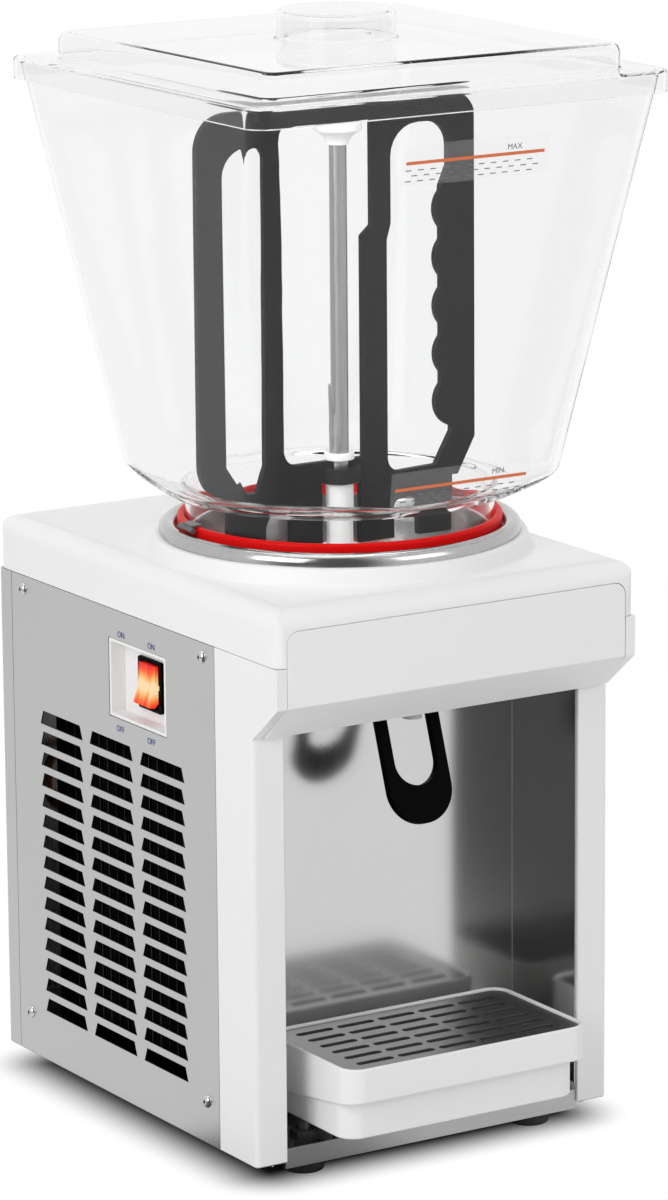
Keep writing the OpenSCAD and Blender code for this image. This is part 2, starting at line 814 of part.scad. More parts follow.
module switch_rocker() {
    back = 5;
    color("OrangeRed") at_recess() translate([pivot_x, 0, 0]) rotate([0, rocker_tilt, 0]) {
        along_y(-rocker_w / 2, rocker_w / 2) polygon([
            [back, -back], [back, back], [0, rocker_h / 2], [-rocker_crest, rocker_h / 2],
            [-rocker_dip, 0], [-rocker_crest, -rocker_h / 2], [0, -rocker_h / 2]]);
        bar_y(-rocker_w / 2 - axle_l, rocker_w / 2 + axle_l, axle_r);
    }
}

// Evaporator dish with the rolled steel ring around bowl and seal
seal_out_r = neck_r + seal_gap + seal_w;
groove_r = seal_out_r + 0.3;

module evaporator_dish() {
    mid_r = (groove_r + ring_r) / 2;
    half = (ring_r - groove_r) / 2;
    color(stainless) on_axis() difference() {
        rotate_extrude() polygon(concat(
            [[pipe_r, dish_under], [pipe_r, dish_floor], [dish_r, dish_floor], [dish_r, seat_z]],
            [for (i = [0 : 10]) let (a = 180 - 18 * i)
                [mid_r + half * cos(a), seat_z + (ring_top - seat_z) * sin(a)]],
            [[ring_r, collar_top], [dish_r + dish_t, collar_top], [dish_r + dish_t, dish_under]]));
        translate([0, tap_y - bowl_y, dish_under - 1]) cylinder(h = dish_t + 2, r = tube_bore_r);
    }
}

coil_in_r = 24;
coil_out_r = 70;
coil_h = 9.5;

module evaporator_coil() {
    ridge = (coil_out_r - coil_in_r) / 5;
    color(copper) on_axis(dish_under - coil_h) difference() {
        cylinder(h = coil_h, r = coil_out_r);
        translate([0, 0, -1]) cylinder(h = coil_h + 2, r = coil_in_r);
        for (i = [1 : 4]) rotate_extrude() translate([coil_in_r + i * ridge - 0.5, -1]) square([1, 4]);
    }
}

module insulation() {
    gap = 0.5;
    hole_r = 20;
    h = dish_under - deck_top;
    color("Wheat") on_axis(deck_top) difference() {
        cylinder(h = h, r = collar_in_r - 3);
        translate([0, 0, -1]) cylinder(h = h + 2, r = hole_r);
        translate([0, 0, h - coil_h - gap]) cylinder(h = coil_h + 2, r = coil_out_r + gap);
        translate([0, tap_y - bowl_y, -1]) cylinder(h = h + 2, r = tube_r + 2.5);
        translate([suction_x, suction_y - bowl_y, -1]) cylinder(h = h + 2, r = pipe_tube_r + 1);
    }
}

// White pipe that keeps juice off the drive
dog_h = 16;
dog_low = deck_top + 1;
dog_top = dog_low + dog_h;
pipe_low = dog_top + 1.5;
pipe_top = dish_floor + pipe_h;

module standpipe() {
    flange_r = 14;
    flange_h = 2.5;
    color(white) on_axis() difference() {
        union() {
            translate([0, 0, pipe_low]) cylinder(h = pipe_top - pipe_low, r = pipe_r);
            translate([0, 0, dish_floor]) cylinder(h = flange_h, r = flange_r);
        }
        translate([0, 0, pipe_low - 1]) cylinder(h = pipe_top - pipe_low + 2, r = rod_r + run_gap);
    }
}

module bowl_seal() {
    in_r = neck_r + seal_gap;
    round_r = seal_w * 0.45;
    color("Red") on_axis() rotate_extrude() polygon(concat(
        [[in_r, seat_z], [seal_out_r, seat_z]],
        arc(seal_out_r - round_r, seat_z + seal_h - round_r, round_r, 0, 90, 5),
        arc(in_r + round_r, seat_z + seal_h - round_r, round_r, 90, 180, 5)));
}

// Steel clip that closes the seal on the left
clip_turn = 173;

module seal_clip() {
    clip_t = 1.2;
    clip_l = 14;
    knob_l = 20;
    r = seal_out_r + skin_gap;
    low = ring_top + 0.3;
    high = seat_z + seal_h + skin_gap;
    color("Gray") on_axis() rotate(clip_turn) {
        translate([r, -clip_l / 2, low]) cube([2 * clip_t, clip_l, high + clip_t - low]);
        translate([r - seal_w, -clip_l / 2, high]) cube([seal_w + clip_t, clip_l, clip_t]);
        translate([r + 2 * clip_t, -knob_l / 2, (low + high) / 2]) bar_y(0, knob_l, 1.5 * clip_t);
    }
}

// Bowl: tapered square walls that round down to a neck
module bowl_form(in, floor_z, rim_z) {
    leaf = 0.5;
    slope = (bowl_top_w - bowl_low_w) / (bowl_h - bowl_round);
    rim_w = bowl_top_w + slope * (rim_z - bowl_rim) - 2 * in;
    hull() {
        along_z(rim_z - leaf, rim_z) soft_square(rim_w, bowl_top_r - in, $fn = 48);
        along_z(bowl_floor + bowl_round, bowl_floor + bowl_round + leaf)
            soft_square(bowl_low_w - 2 * in, bowl_low_r - in, $fn = 48);
        along_z(floor_z + bowl_round * 0.36, floor_z + bowl_round * 0.36 + leaf)
            soft_square(bowl_low_w - 4 - 2 * in, bowl_low_r + 10 - in, $fn = 48);
        translate([0, 0, floor_z]) cylinder(h = leaf, r = bowl_low_w / 2 - 5 - in, $fn = 48);
    }
}

module bowl() {
    neck_low = seat_z + rest_gap;
    color(clear) on_axis() difference() {
        union() {
            bowl_form(0, bowl_floor, bowl_rim);
            translate([0, 0, neck_low]) cylinder(h = neck_h + 1, r = neck_r);
        }
        bowl_form(bowl_t, bowl_floor + bowl_t, bowl_rim + 1);
        translate([0, 0, neck_low - 1]) cylinder(h = neck_h + bowl_t + 3, r = neck_r - neck_t);
    }
}

module lid() {
    skirt_in = lid_w - 2 * lid_t;
    skirt_low = lid_under - lid_skirt + lid_t;
    skirt_r = bowl_top_r + lid_gap - 6;
    mid_r = 12;
    color(clear) on_axis() difference() {
        union() {
            along_z(skirt_low, lid_flange) soft_square(lid_w, skirt_r + lid_t);
            along_z(lid_flange - 0.5, lid_top) soft_square(lid_mid_w, mid_r);
            translate([0, 0, lid_top - 0.5]) cylinder(h = knob_h + 0.5, r = knob_r);
        }
        along_z(skirt_low - 1, lid_under) soft_square(skirt_in, skirt_r);
        along_z(lid_under - 1, lid_top - lid_t) soft_square(lid_mid_w - 2 * lid_t, mid_r - lid_t);
        translate([0, 0, lid_top - lid_t - 1]) cylinder(h = knob_h + 1, r = knob_r - lid_t);
    }
}

// Agitator paddle: outline in (x, z), measured from the dish floor
skirt_low = paddle_gap;
hub_low = pipe_h + 1;
cross_top = hub_low + hub_h + 5;
lobe_low = 38;
lobe_r = 26;
cut_top = 61;
cut_h = 31;
rod_top = paddle_top - 14;
top_bar = 12;
grip_step = 30.5;
grip_first = 85.5;

module paddle_holes() {
    top_hole = paddle_top - 24;
    left_in = -56;
    left_out = -paddle_half + 18;
    right_in = 34;
    right_out = paddle_half - 21.5;
    grip_x = paddle_half - 27;
    grip_r = 17;
    grip_out = 4.4;
    grips = [for (i = [0 : 4]) grip_first + i * grip_step];
    // Left loop, narrowed to a point at its foot
    polygon(concat([[left_out + 1, cross_top + 4], [left_out + 13, lobe_low + 5],
        [left_in - 6, lobe_low + 5], [left_in, cross_top + 2]], arc(left_in - 8, top_hole - 8, 8, 0, 90),
        arc(left_out + 17, top_hole - 17, 17, 90, 180)));
    // Middle opening around the rod, with a jog in its right edge
    polygon(concat(arc(-32, cross_top + 10, 10, 180, 270), [[16, cross_top], [16, 196], [23, 202]],
        [[23, paddle_top - top_bar]], arc(-32, paddle_top - top_bar - 10, 10, 90, 180)));
    // Right loop, a hand grip with finger bumps
    difference() {
        polygon(concat(arc(right_in + 9, lobe_low + 16, 9, 180, 270), [[right_in + 36, lobe_low + 8],
            [right_out + 2, cut_top + 5], [right_out + 2, cut_top + 16], [grip_x, cut_top + 24],
            [grip_x, 222], [right_out, 234]], arc(right_out - 16, top_hole - 10, 16, 0, 90),
            arc(right_in + 23, top_hole - 14, 20, 90, 180), [[right_in + 3, 202], [right_in, 192]]));
        for (z = grips) translate([grip_x - grip_out + grip_r, z]) circle(grip_r);
    }
}

module paddle_outline() {
    pipe_room = pipe_r + 5.5;
    arch_w = 18;
    arch_top = 28;
    difference() {
        union() {
            soft_rect(-paddle_half, paddle_half - 2, lobe_low, paddle_top, [lobe_r, 0, 16, 24]);
            translate([-skirt_half, skirt_low]) square([2 * skirt_half, lobe_low]);
        }
        polygon([[skirt_half, skirt_low - 1], [skirt_half, cut_top - cut_h], [paddle_half - 2, cut_top],
            [paddle_half + 1, cut_top], [paddle_half + 1, skirt_low - 1]]);
        translate([-pipe_room, skirt_low - 1]) square([2 * pipe_room, hub_low - skirt_low + 1]);
        for (x = [-46, 48]) {
            translate([x - arch_w / 2, skirt_low - 1])
                square([arch_w, arch_top - arch_w / 2 - skirt_low + 1]);
            translate([x, arch_top - arch_w / 2]) circle(arch_w / 2);
        }
        paddle_holes();
    }
}

module agitator_paddle() {
    color(black) on_axis(dish_floor) difference() {
        union() {
            along_y(-paddle_t / 2, paddle_t / 2) paddle_outline();
            translate([0, 0, hub_low]) cylinder(h = hub_h, r = hub_r);
        }
        translate([0, 0, hub_low - 1]) cylinder(h = cross_top - hub_low + 2, r = rod_r);
    }
}

// Steel rod: its flattened lower end stands in the drive coupling
tang_low = dog_low + 6;

module agitator_rod() {
    top = dish_floor + rod_top;
    color("Silver") on_axis() {
        translate([0, 0, dog_top]) cylinder(h = top - dog_top, r = rod_r);
        intersection() {
            translate([0, 0, tang_low]) cylinder(h = dog_top - tang_low + 0.5, r = rod_r);
            translate([-rod_r, -tang_t / 2, tang_low]) cube([2 * rod_r, tang_t, dog_top - tang_low + 0.5]);
        }
    }
}

module rod_cap() {
    disc = 6;
    base = paddle_top - top_bar - cap_h - 0.2;
    neck = rod_r + 1.4;
    flare = [for (i = [0 : 5]) let (t = i / 5) [neck + (cap_r - neck) * t * t, base + (cap_h - disc) * t]];
    color(white) on_axis(dish_floor) rotate_extrude()
        polygon(concat([[0, rod_top], [rod_r, rod_top], [rod_r, base]], flare,
            [[cap_r, base + cap_h], [0, base + cap_h]]));
}

module hub_collar() {
    color(white) on_axis(dish_floor + cross_top + 0.1) difference() {
        cylinder(h = hub_collar_h, r = hub_collar_r);
        translate([0, 0, -1]) cylinder(h = hub_collar_h + 2, r = rod_r);
    }
}

// Drive: gear motor under the deck, coupling above it
shaft_in = 18;

module gear_motor() {
    r = 6;
    color("LightSlateGray") on_axis(deck_under - gear_h) difference() {
        union() {
            along_z(0, gear_h) soft_square(gear_w, r);
            translate([0, 0, -motor_l]) cylinder(h = motor_l, r = motor_r);
            translate([0, 0, -motor_l - 4]) cylinder(h = 4, r = motor_r * 0.45);
            translate([0, 0, -8]) cylinder(h = 8, r = motor_r + 2);
        }
        translate([0, 0, gear_h - shaft_in - 1]) cylinder(h = shaft_in + 2, r = drive_r + run_gap);
    }
}

module drive_coupling() {
    color("Gray") on_axis() difference() {
        union() {
            translate([0, 0, dog_low]) cylinder(h = dog_h, r = dog_r);
            translate([0, 0, deck_under - shaft_in]) cylinder(h = shaft_in + deck_t + 2, r = drive_r);
        }
        intersection() {
            translate([0, 0, tang_low - tang_gap]) cylinder(h = dog_h, r = rod_r + tang_gap);
            translate([-dog_r, -tang_t / 2 - tang_gap, 0])
                cube([2 * dog_r, tang_t + 2 * tang_gap, dog_top + 1]);
        }
        translate([0, 0, dog_top - 0.5]) cylinder(h = 1, r = rod_r + tang_gap);
    }
}

// Tap: the lever's bar pinches the outlet tube against an anvil
pivot_y = tap_y + pivot_back;
pivot_z = deck_under - pivot_drop;
pinch_z = pivot_z + pinch_up;
bar_y_at = tap_y - pinch_t / 2 - bar_gap - bar_r;
anvil_r = 3;
arm_in = lever_w / 2 - lever_arm;
ear_t = 3;
ear_in = lever_w / 2 + 1.2;

module tap_bracket() {
    plate = 2;
    back = pivot_y + 9;
    color("Gainsboro") from_front() difference() {
        union() {
            along_z(deck_under - plate, deck_under) translate([-ear_in - ear_t, tap_y - 14])
                square([2 * (ear_in + ear_t), back - tap_y + 14]);
            for (x = [-ear_in - ear_t, ear_in]) along_x(x, x + ear_t) difference() {
                soft_rect(pivot_y - 9, back, pivot_z - 9, deck_under, [9, 9, 0, 0]);
                translate([pivot_y, pivot_z]) circle(pin_r);
            }
            translate([0, tap_y + pinch_t / 2 + anvil_r, pinch_z]) bar_x(-arm_in + 4, arm_in - 4, anvil_r);
            along_z(pinch_z, deck_under - plate + 0.1)
                translate([-arm_in + 4, tap_y + pinch_t / 2 + anvil_r]) square([2 * (arm_in - 4), anvil_r]);
        }
        translate([0, tap_y, deck_under - plate - 1]) cylinder(h = plate + 2, r = tube_r + 0.3);
    }
}

module lever_pin() {
    head = 2;
    color("Silver") from_front() translate([0, pivot_y, pivot_z]) {
        bar_x(-ear_in - ear_t - 0.1, ear_in + ear_t + 2, pin_r);
        bar_x(-ear_in - ear_t - 0.1 - head, -ear_in - ear_t - 0.1, pin_r + 2);
    }
}

// Torsion spring around the pin: one tube swept along a helix with two straight legs
spring_r = pin_r + wire_r + 0.6;
spring_pitch = 2 * wire_r + 0.5;
spring_sides = 6;
turn_steps = 8;
leg_steps = 3;
leg_l = 10;

function leg_point(a, s, x) =
    [x, spring_r * cos(a) - s * sin(a), spring_r * sin(a) + s * cos(a)];

function spring_path() =
    let (turns = spring_turns + 0.25, n = round(turns * turn_steps), x0 = -turns * spring_pitch / 2)
    concat(
        [for (i = [leg_steps : -1 : 1]) leg_point(0, -leg_l * i / leg_steps, x0)],
        [for (i = [0 : n]) let (a = 360 * i / turn_steps)
            [x0 + i * spring_pitch / turn_steps, spring_r * cos(a), spring_r * sin(a)]],
        [for (i = [1 : leg_steps]) leg_point(360 * n / turn_steps, leg_l * i / leg_steps, -x0)]);

// Least gap of the wire to itself, between points half a turn or more apart
function wire_gap(path) = let (last = len(path) - 1)
    min([for (i = [0 : last], j = [i + turn_steps / 2 : 1 : last]) norm(path[i] - path[j])]) - 2 * wire_r;
echo(least_spring_gap = wire_gap(spring_path()));

module swept_tube(path, r, sides) {
    last = len(path) - 1;
    rings = [for (i = [0 : last])
        let (d = path[min(i + 1, last)] - path[max(i - 1, 0)], t = d / norm(d),
             u = cross(t, [1, 0, 0]), n = u / norm(u), b = cross(t, n))
        for (k = [0 : sides - 1]) path[i] + r * (cos(360 * k / sides) * n + sin(360 * k / sides) * b)];
    sides_faces = [for (i = [0 : last - 1], k = [0 : sides - 1])
        let (p = i * sides + k, q = i * sides + (k + 1) % sides)
        for (f = [[p, q, q + sides], [p, q + sides, p + sides]]) f];
    caps = [for (k = [1 : sides - 2]) each [[0, k + 1, k], last * sides * [1, 1, 1] + [0, k, k + 1]]];
    polyhedron(rings, concat(sides_faces, caps));
}

module lever_spring() {
    color("Silver") from_front() translate([0, pivot_y, pivot_z])
        swept_tube(spring_path(), wire_r, spring_sides);
}

// Outlet: nipple under the dish, soft tube through the deck, pinched at rest
tube_low = hood_low_z - tube_below;
tube_high = dish_under - 12;

module outlet_nipple() {
    bore = tube_bore_r - 1.2;
    flange = 1.5;
    down = tube_high - 14;
    color("Silver") from_front() translate([0, tap_y, 0]) difference() {
        union() {
            translate([0, 0, down]) cylinder(h = dish_floor - down, r = tube_bore_r);
            translate([0, 0, dish_under - flange]) cylinder(h = flange, r = tube_r + 2);
        }
        translate([0, 0, down - 1]) cylinder(h = dish_floor - down + 2, r = bore);
    }
}

module pinch_tube() {
    shut = 9;
    color("Snow") from_front() translate([0, tap_y, 0]) difference() {
        translate([0, 0, tube_low]) cylinder(h = tube_high - tube_low, r = tube_r);
        translate([0, 0, tube_low - 1]) cylinder(h = pinch_z - shut - tube_low + 1, r = tube_bore_r);
        translate([0, 0, pinch_z + shut]) cylinder(h = tube_high - pinch_z, r = tube_bore_r);
        for (s = [-1, 1]) translate([0, s * (pinch_t / 2 + waist_r), pinch_z])
            bar_x(-tube_r - 1, tube_r + 1, waist_r);
    }
}

// Lever: a loop that hangs from the pin, with short arms up to the pinch bar
module lever_loop() {
    out = lever_w / 2;
    hole_r = arm_in;
    hole_y = -lever_l + lever_end + hole_r;
    difference() {
        union() {
            translate([-out, -lever_l + out]) square([lever_w, lever_l - out]);
            translate([0, -lever_l + out]) circle(out);
        }
        translate([0, hole_y]) circle(hole_r);
        translate([-hole_r, hole_y]) square([2 * hole_r, 1 - hole_y]);
    }
}

module tap_lever() {
    boss_r = 8;
    arm_h = 8;
    eye_r = max(4.6, bar_r + 1);
    inset = 0.5;
    reach = [bar_y_at - pivot_y, pinch_up];
    rise = atan2(reach[1], reach[0]);
    color("Black") from_front() translate([0, pivot_y, pivot_z]) difference() {
        union() {
            rotate([-lever_lean, 0, 0]) along_y(-lever_t / 2, lever_t / 2) lever_loop();
            for (x = [-lever_w / 2, arm_in]) along_x(x + inset, x + lever_arm - inset) {
                circle(boss_r);
                rotate(rise) translate([0, -arm_h / 2]) square([norm(reach), arm_h]);
                translate(reach) circle(eye_r);
            }
        }
        bar_x(-lever_w, lever_w, pin_r + run_gap);
        translate([0, reach[0], reach[1]]) bar_x(-lever_w, lever_w, bar_r);
    }
}

module pinch_bar() {
    color("Silver") from_front() translate([0, bar_y_at, pinch_z]) bar_x(-lever_w / 2, lever_w / 2, bar_r);
}

// Drip tray on its shelf
tray_rim = tray_z + tray_h;
grille_top = tray_rim - grille_sunk;
seat_gap = 0.2;

module tray_rect(in_side, in_front, in_back, r) {
    half = tray_w / 2 - in_side;
    soft_rect(-half, half, -tray_front + in_front, tray_back - in_back, [r, r, r, r]);
}

module tray_shelf() {
    half = tray_w / 2 - 20;
    front = foot_front - 8;
    back = alcove_d - 8;
    top = tray_z - seat_gap;
    color("LightGray") from_front() along_y(front, back) difference() {
        translate([-half, pan_top]) square([2 * half, top - pan_top]);
        translate([-half + sheet, pan_top - 1]) square([2 * half - 2 * sheet, top - sheet - pan_top + 1]);
    }
}

module drip_tray() {
    ledge = grille_top - grille_t - seat_gap;
    inner = tray_t + max(grille_seat, band_side);
    color(white) from_front() difference() {
        union() {
            intersection() {
                along_z(tray_z, tray_rim) tray_rect(0, 0, 0, tray_r);
                along_x(-tray_w, tray_w) polygon([[-tray_front - 1, tray_rim - band_h],
                    [tray_back + 1, tray_rim - band_back_h], [tray_back + 1, tray_rim + 1],
                    [-tray_front - 1, tray_rim + 1]]);
            }
            along_z(tray_z, tray_rim - 0.5) tray_rect(band_side, band_step, band_side, tray_r);
        }
        along_z(ledge, tray_rim + 1) tray_rect(tray_t, tray_t, tray_t, tray_r - tray_t);
        along_z(tray_z + tray_t, ledge + 1)
            tray_rect(inner, band_step + tray_t, inner, tray_r - tray_t);
    }
}

module drip_grille() {
    in = tray_t + grille_gap;
    mid_y = (tray_back - tray_front) / 2;
    color("Gray") from_front() along_z(grille_top - grille_t, grille_top) difference() {
        tray_rect(in, in, in, tray_r - in);
        for (i = [0 : drain_cols - 1], j = [0 : drain_rows - 1]) {
            x = (i - (drain_cols - 1) / 2) * drain_step_x;
            y = mid_y + (j - (drain_rows - 1) / 2) * drain_step_y;
            translate([x, y]) slot_x(drain_l, drain_w);
        }
    }
}

// Compressor on rubber mounts
mount_in = 46;
mount_r = 10;
mount_waist_r = 7;
mount_pin = 5;
plate_t = 3;
plate_edge = 11;
plate_r = 14;
shell_round = 15;
seam_out = 2;
seam_h = 4;
relay_half = 20;
relay_out = 8;
relay_in = 10;
mount_places = [for (sx = [-1, 1], sy = [-1, 1]) [comp_x + sx * mount_in, comp_y + sy * mount_in]];
comp_low = pan_top + comp_lift;
stub_in = 20;
stub_h = 5;
stub_root = 12;
stub_wall = 1.2;

module compressor() {
    seam_z = comp_h * 0.55;
    seam_r = comp_r + seam_out;
    dome = comp_r * 0.5;
    color("Black") from_front() translate([comp_x, comp_y, comp_low]) difference() {
        union() {
            rotate_extrude() polygon(concat([[0, plate_t - 1]],
                arc(comp_r - shell_round, plate_t - 1 + shell_round, shell_round, -90, 0),
                [[comp_r, seam_z], [seam_r, seam_z], [seam_r, seam_z + seam_h], [comp_r, seam_z + seam_h]],
                [for (i = [0 : 6]) let (a = 15 * i)
                    [comp_r * cos(a), comp_h - dome + dome * sin(a)]]));
            along_z(0, plate_t) soft_square(2 * (mount_in + plate_edge), plate_r);
            translate([-stub_in, 0, comp_h - stub_root])
                cylinder(h = stub_root + stub_h, r = pipe_tube_r + stub_wall);
            along_y(-comp_r - relay_out, -comp_r + relay_in)
                translate([-relay_half, seam_z - 2 * relay_half])
                square([2 * relay_half, 1.5 * relay_half]);
        }
        for (sx = [-1, 1], sy = [-1, 1]) translate([sx * mount_in, sy * mount_in, -1])
            cylinder(h = plate_t + 2, r = stud_r);
    }
}

module compressor_mounts() {
    pin_top = comp_lift + mount_pin;
    color(rubber) from_front() for (p = mount_places) translate([p[0], p[1], pan_top]) {
        rotate_extrude() polygon([[0, 0], [mount_r, 0], [mount_waist_r, comp_lift / 2], [mount_r, comp_lift],
            [stud_r, comp_lift], [stud_r, pin_top], [0, pin_top]]);
    }
}

// Condenser behind the left louvres, with the fan on its inner side
cond_gap = 10;
cond_clear = 2;
cond_end = 6;
cond_end_t = 1.5;
cond_tube_r = 4;
cond_runs = 5;
fin_t = 1;
fin_in = 1;
fin_edge = 4;
cond_x = -half_w + sheet + cond_gap;
cond_y = max(louvre_first_y + louvre_step_y, alcove_d + sheet + cond_end + cond_clear + cond_l / 2);
cond_z = pan_top;
fan_z = cond_z + cond_h / 2;
shroud_x = cond_x + cond_t;
shroud_t = 2;
shroud_ring_l = 12;
shroud_wall = 2;
fan_clear = 3;
clamp_in = 6;
rail_out = 10;
rail_w = 8;
rail_t = 3;
strap_w = 12;
strap_gap = 0.2;
clamp_l = 8;
clamp_wall = 4;

module condenser() {
    step = (cond_l - 2 * cond_end_t) / (cond_fins + 1);
    color("Silver") from_front() translate([cond_x, cond_y - cond_l / 2, cond_z]) {
        for (y = [0, cond_l - cond_end_t]) translate([0, y, 0]) cube([cond_t, cond_end_t, cond_h]);
        for (i = [1 : cond_fins]) translate([fin_in, cond_end_t + i * step - fin_t / 2, fin_edge])
            cube([cond_t - 2 * fin_in, fin_t, cond_h - 2 * fin_edge]);
        for (k = [0 : cond_runs - 1]) translate([cond_t / 2, 0, cond_h * (k + 0.5) / cond_runs])
            bar_y(-cond_end, cond_l + cond_end, cond_tube_r);
    }
}

module fan_shroud() {
    ring_in = fan_r + fan_clear;
    arm_x = fan_motor_x + clamp_in;
    strap_from = fan_motor_r + strap_gap;
    strap_to = fan_r + rail_out + rail_w / 2;
    color("DarkGray") from_front() translate([0, cond_y, fan_z]) {
        along_x(shroud_x, shroud_x + shroud_t) difference() {
            square([cond_l, cond_h], center = true);
            circle(ring_in);
        }
        along_x(shroud_x + shroud_t - 0.5, shroud_x + shroud_t + shroud_ring_l) difference() {
            circle(ring_in + shroud_wall);
            circle(ring_in);
        }
        for (s = [-1, 1]) {
            along_x(shroud_x + shroud_t - 0.5, arm_x + shroud_wall)
                translate([s * (fan_r + rail_out) - rail_w / 2, -rail_t / 2]) square([rail_w, rail_t]);
            along_x(arm_x, arm_x + shroud_wall)
                translate([s > 0 ? strap_from : -strap_to, -strap_w / 2])
                square([strap_to - strap_from, strap_w]);
        }
        along_x(arm_x, arm_x + clamp_l) difference() {
            circle(fan_motor_r + clamp_wall);
            circle(fan_motor_r);
        }
    }
}

fan_space = 6;
fan_hub_x = shroud_x + shroud_t + fan_space;
fan_hub_l = 16;
fan_hub_r = 14;
fan_shaft_r = 2.5;
fan_motor_x = fan_hub_x + fan_hub_l + fan_space;
fan_motor_l = 34;
fan_boss_l = 4;
fan_boss_r = 8;
fan_bore = 12;
blade_pitch = 32;
blade_t = 1.6;
blade_half = 22;
blade_root = 4;

module fan_motor() {
    color("DimGray") from_front() translate([0, cond_y, fan_z]) difference() {
        union() {
            bar_x(fan_motor_x, fan_motor_x + fan_motor_l, fan_motor_r);
            bar_x(fan_motor_x + fan_motor_l - 1, fan_motor_x + fan_motor_l + fan_boss_l, fan_boss_r);
        }
        bar_x(fan_motor_x - 1, fan_motor_x + fan_bore, fan_shaft_r + run_gap);
    }
}

module fan_blades_wheel() {
    color("Gray") from_front() translate([0, cond_y, fan_z]) {
        bar_x(fan_hub_x, fan_hub_x + fan_hub_l, fan_hub_r);
        bar_x(fan_hub_x + fan_hub_l - 1, fan_motor_x + fan_bore - 1, fan_shaft_r);
        for (i = [0 : fan_blades - 1]) rotate([360 * i / fan_blades, 0, 0])
            translate([fan_hub_x + fan_hub_l / 2, 0, 0]) rotate([0, 0, blade_pitch]) intersection() {
                translate([-blade_t / 2, -blade_half, fan_hub_r - blade_root])
                    cube([blade_t, 2 * blade_half, fan_r - fan_hub_r + blade_root]);
                translate([-blade_t, 0, 0]) bar_x(0, 2 * blade_t, fan_r - 1);
            }
    }
}

// Refrigerant circuit: drier on the condenser's outlet, pipes to and from the compressor
suction_x = 60;
suction_y = 130;
drier_x = -30;
drier_gap = 13;
drier_lift = 40;
drier_y = cond_y + cond_l / 2 + cond_end + drier_gap;
drier_z = pan_top + drier_lift;
drier_l = 90;
drier_r = 10;
drier_neck = 6;
drier_cone = 12;
hot_back = 18;
hot_rise = 24;
cold_drop = 20;

// Pipe along points whose legs meet at right angles
module tube_run(points, r) {
    bend = 3 * r;
    last = len(points) - 1;
    dirs = [for (i = [0 : last - 1]) (points[i + 1] - points[i]) / norm(points[i + 1] - points[i])];
    for (i = [0 : last - 1]) {
        d = dirs[i];
        from = i > 0 ? bend : 0;
        to = i < last - 1 ? bend : 0;
        translate(points[i] + from * d) rotate([0, acos(d[2]), atan2(d[1], d[0])])
            cylinder(h = norm(points[i + 1] - points[i]) - from - to, r = r);
    }
    for (i = [1 : last - 1]) {
        u = dirs[i - 1];
        v = dirs[i];
        w = cross(u, v);
        c = points[i] + bend * (v - u);
        multmatrix([for (k = [0 : 2]) [-v[k], u[k], w[k], c[k]]])
            rotate_extrude(angle = 90) translate([bend, 0]) circle(r);
    }
}

module filter_drier() {
    shoulder = drier_neck + drier_cone;
    color(copper) from_front() translate([drier_x, drier_y, drier_z]) rotate_extrude() polygon([
        [0, 0], [pipe_tube_r, 0], [pipe_tube_r, drier_neck], [drier_r, shoulder],
        [drier_r, drier_l - shoulder], [pipe_tube_r, drier_l - drier_neck], [pipe_tube_r, drier_l],
        [0, drier_l]]);
}

module refrigerant_pipes() {
    comp_top = comp_low + comp_h + stub_h;
    stub_x = comp_x - stub_in;
    end_x = cond_x + cond_t / 2;
    end_y = cond_y + cond_l / 2 + cond_end;
    in_z = cond_z + cond_h * (cond_runs - 1.5) / cond_runs;
    out_z = cond_z + cond_h * 0.5 / cond_runs;
    r = pipe_tube_r;
    hot_y = drier_y + hot_back;
    hot_z = max(comp_top, in_z) + hot_rise;
    cold_z = deck_under - cold_drop;
    color(copper) from_front() {
        // Compressor outlet to the top of the condenser
        tube_run([[stub_x, comp_y, comp_top], [stub_x, comp_y, hot_z], [stub_x, hot_y, hot_z],
            [end_x, hot_y, hot_z], [end_x, hot_y, in_z], [end_x, end_y, in_z]], r);
        // Foot of the condenser to the drier
        tube_run([[end_x, end_y, out_z], [end_x, drier_y, out_z], [drier_x, drier_y, out_z],
            [drier_x, drier_y, drier_z]], r);
        // Drier to the evaporator coil
        tube_run([[drier_x, drier_y, drier_z + drier_l], [drier_x, drier_y, cold_z],
            [suction_x, drier_y, cold_z], [suction_x, suction_y, cold_z],
            [suction_x, suction_y, dish_under - coil_h]], r);
    }
}

// Thermostat under the deck, with its shaft to the front
thermo_x = -88;
thermo_y = 228;
thermo_w = 34;
thermo_l = 40;
thermo_h = 24;
thermo_shaft_r = 3;
thermo_shaft_l = 12;
thermo_knob_r = 8;
thermo_knob_l = 4;

module thermostat() {
    color("Ivory") from_front() translate([thermo_x, thermo_y, deck_under - thermo_h]) {
        cube([thermo_w, thermo_l, thermo_h]);
        translate([thermo_w / 2, 0, thermo_h / 2]) {
            bar_y(-thermo_shaft_l, 1, thermo_shaft_r);
            bar_y(-thermo_shaft_l - thermo_knob_l, -thermo_shaft_l + 1, thermo_knob_r);
        }
    }
}

// Terminal block beside the cord gland
block_ways = 3;
block_pitch = 10;
block_d = 16;
block_h = 18;
block_bore_r = 3;
block_bore_h = 10;
block_slot_w = 1;
block_slot_h = 6;

module terminal_block() {
    l = block_ways * block_pitch;
    color("Ivory") from_front() translate([gland_x - l / 2, pan_back - sheet - block_d, pan_top]) difference() {
        cube([l, block_d, block_h]);
        for (i = [0 : block_ways - 1])
            translate([(i + 0.5) * block_pitch, block_d / 2, block_h - block_bore_h])
            cylinder(h = block_bore_h + 2, r = block_bore_r);
        for (i = [0 : block_ways])
            translate([i * block_pitch - block_slot_w / 2, -1, block_h - block_slot_h])
            cube([block_slot_w, block_d + 2, block_slot_h + 2]);
    }
}

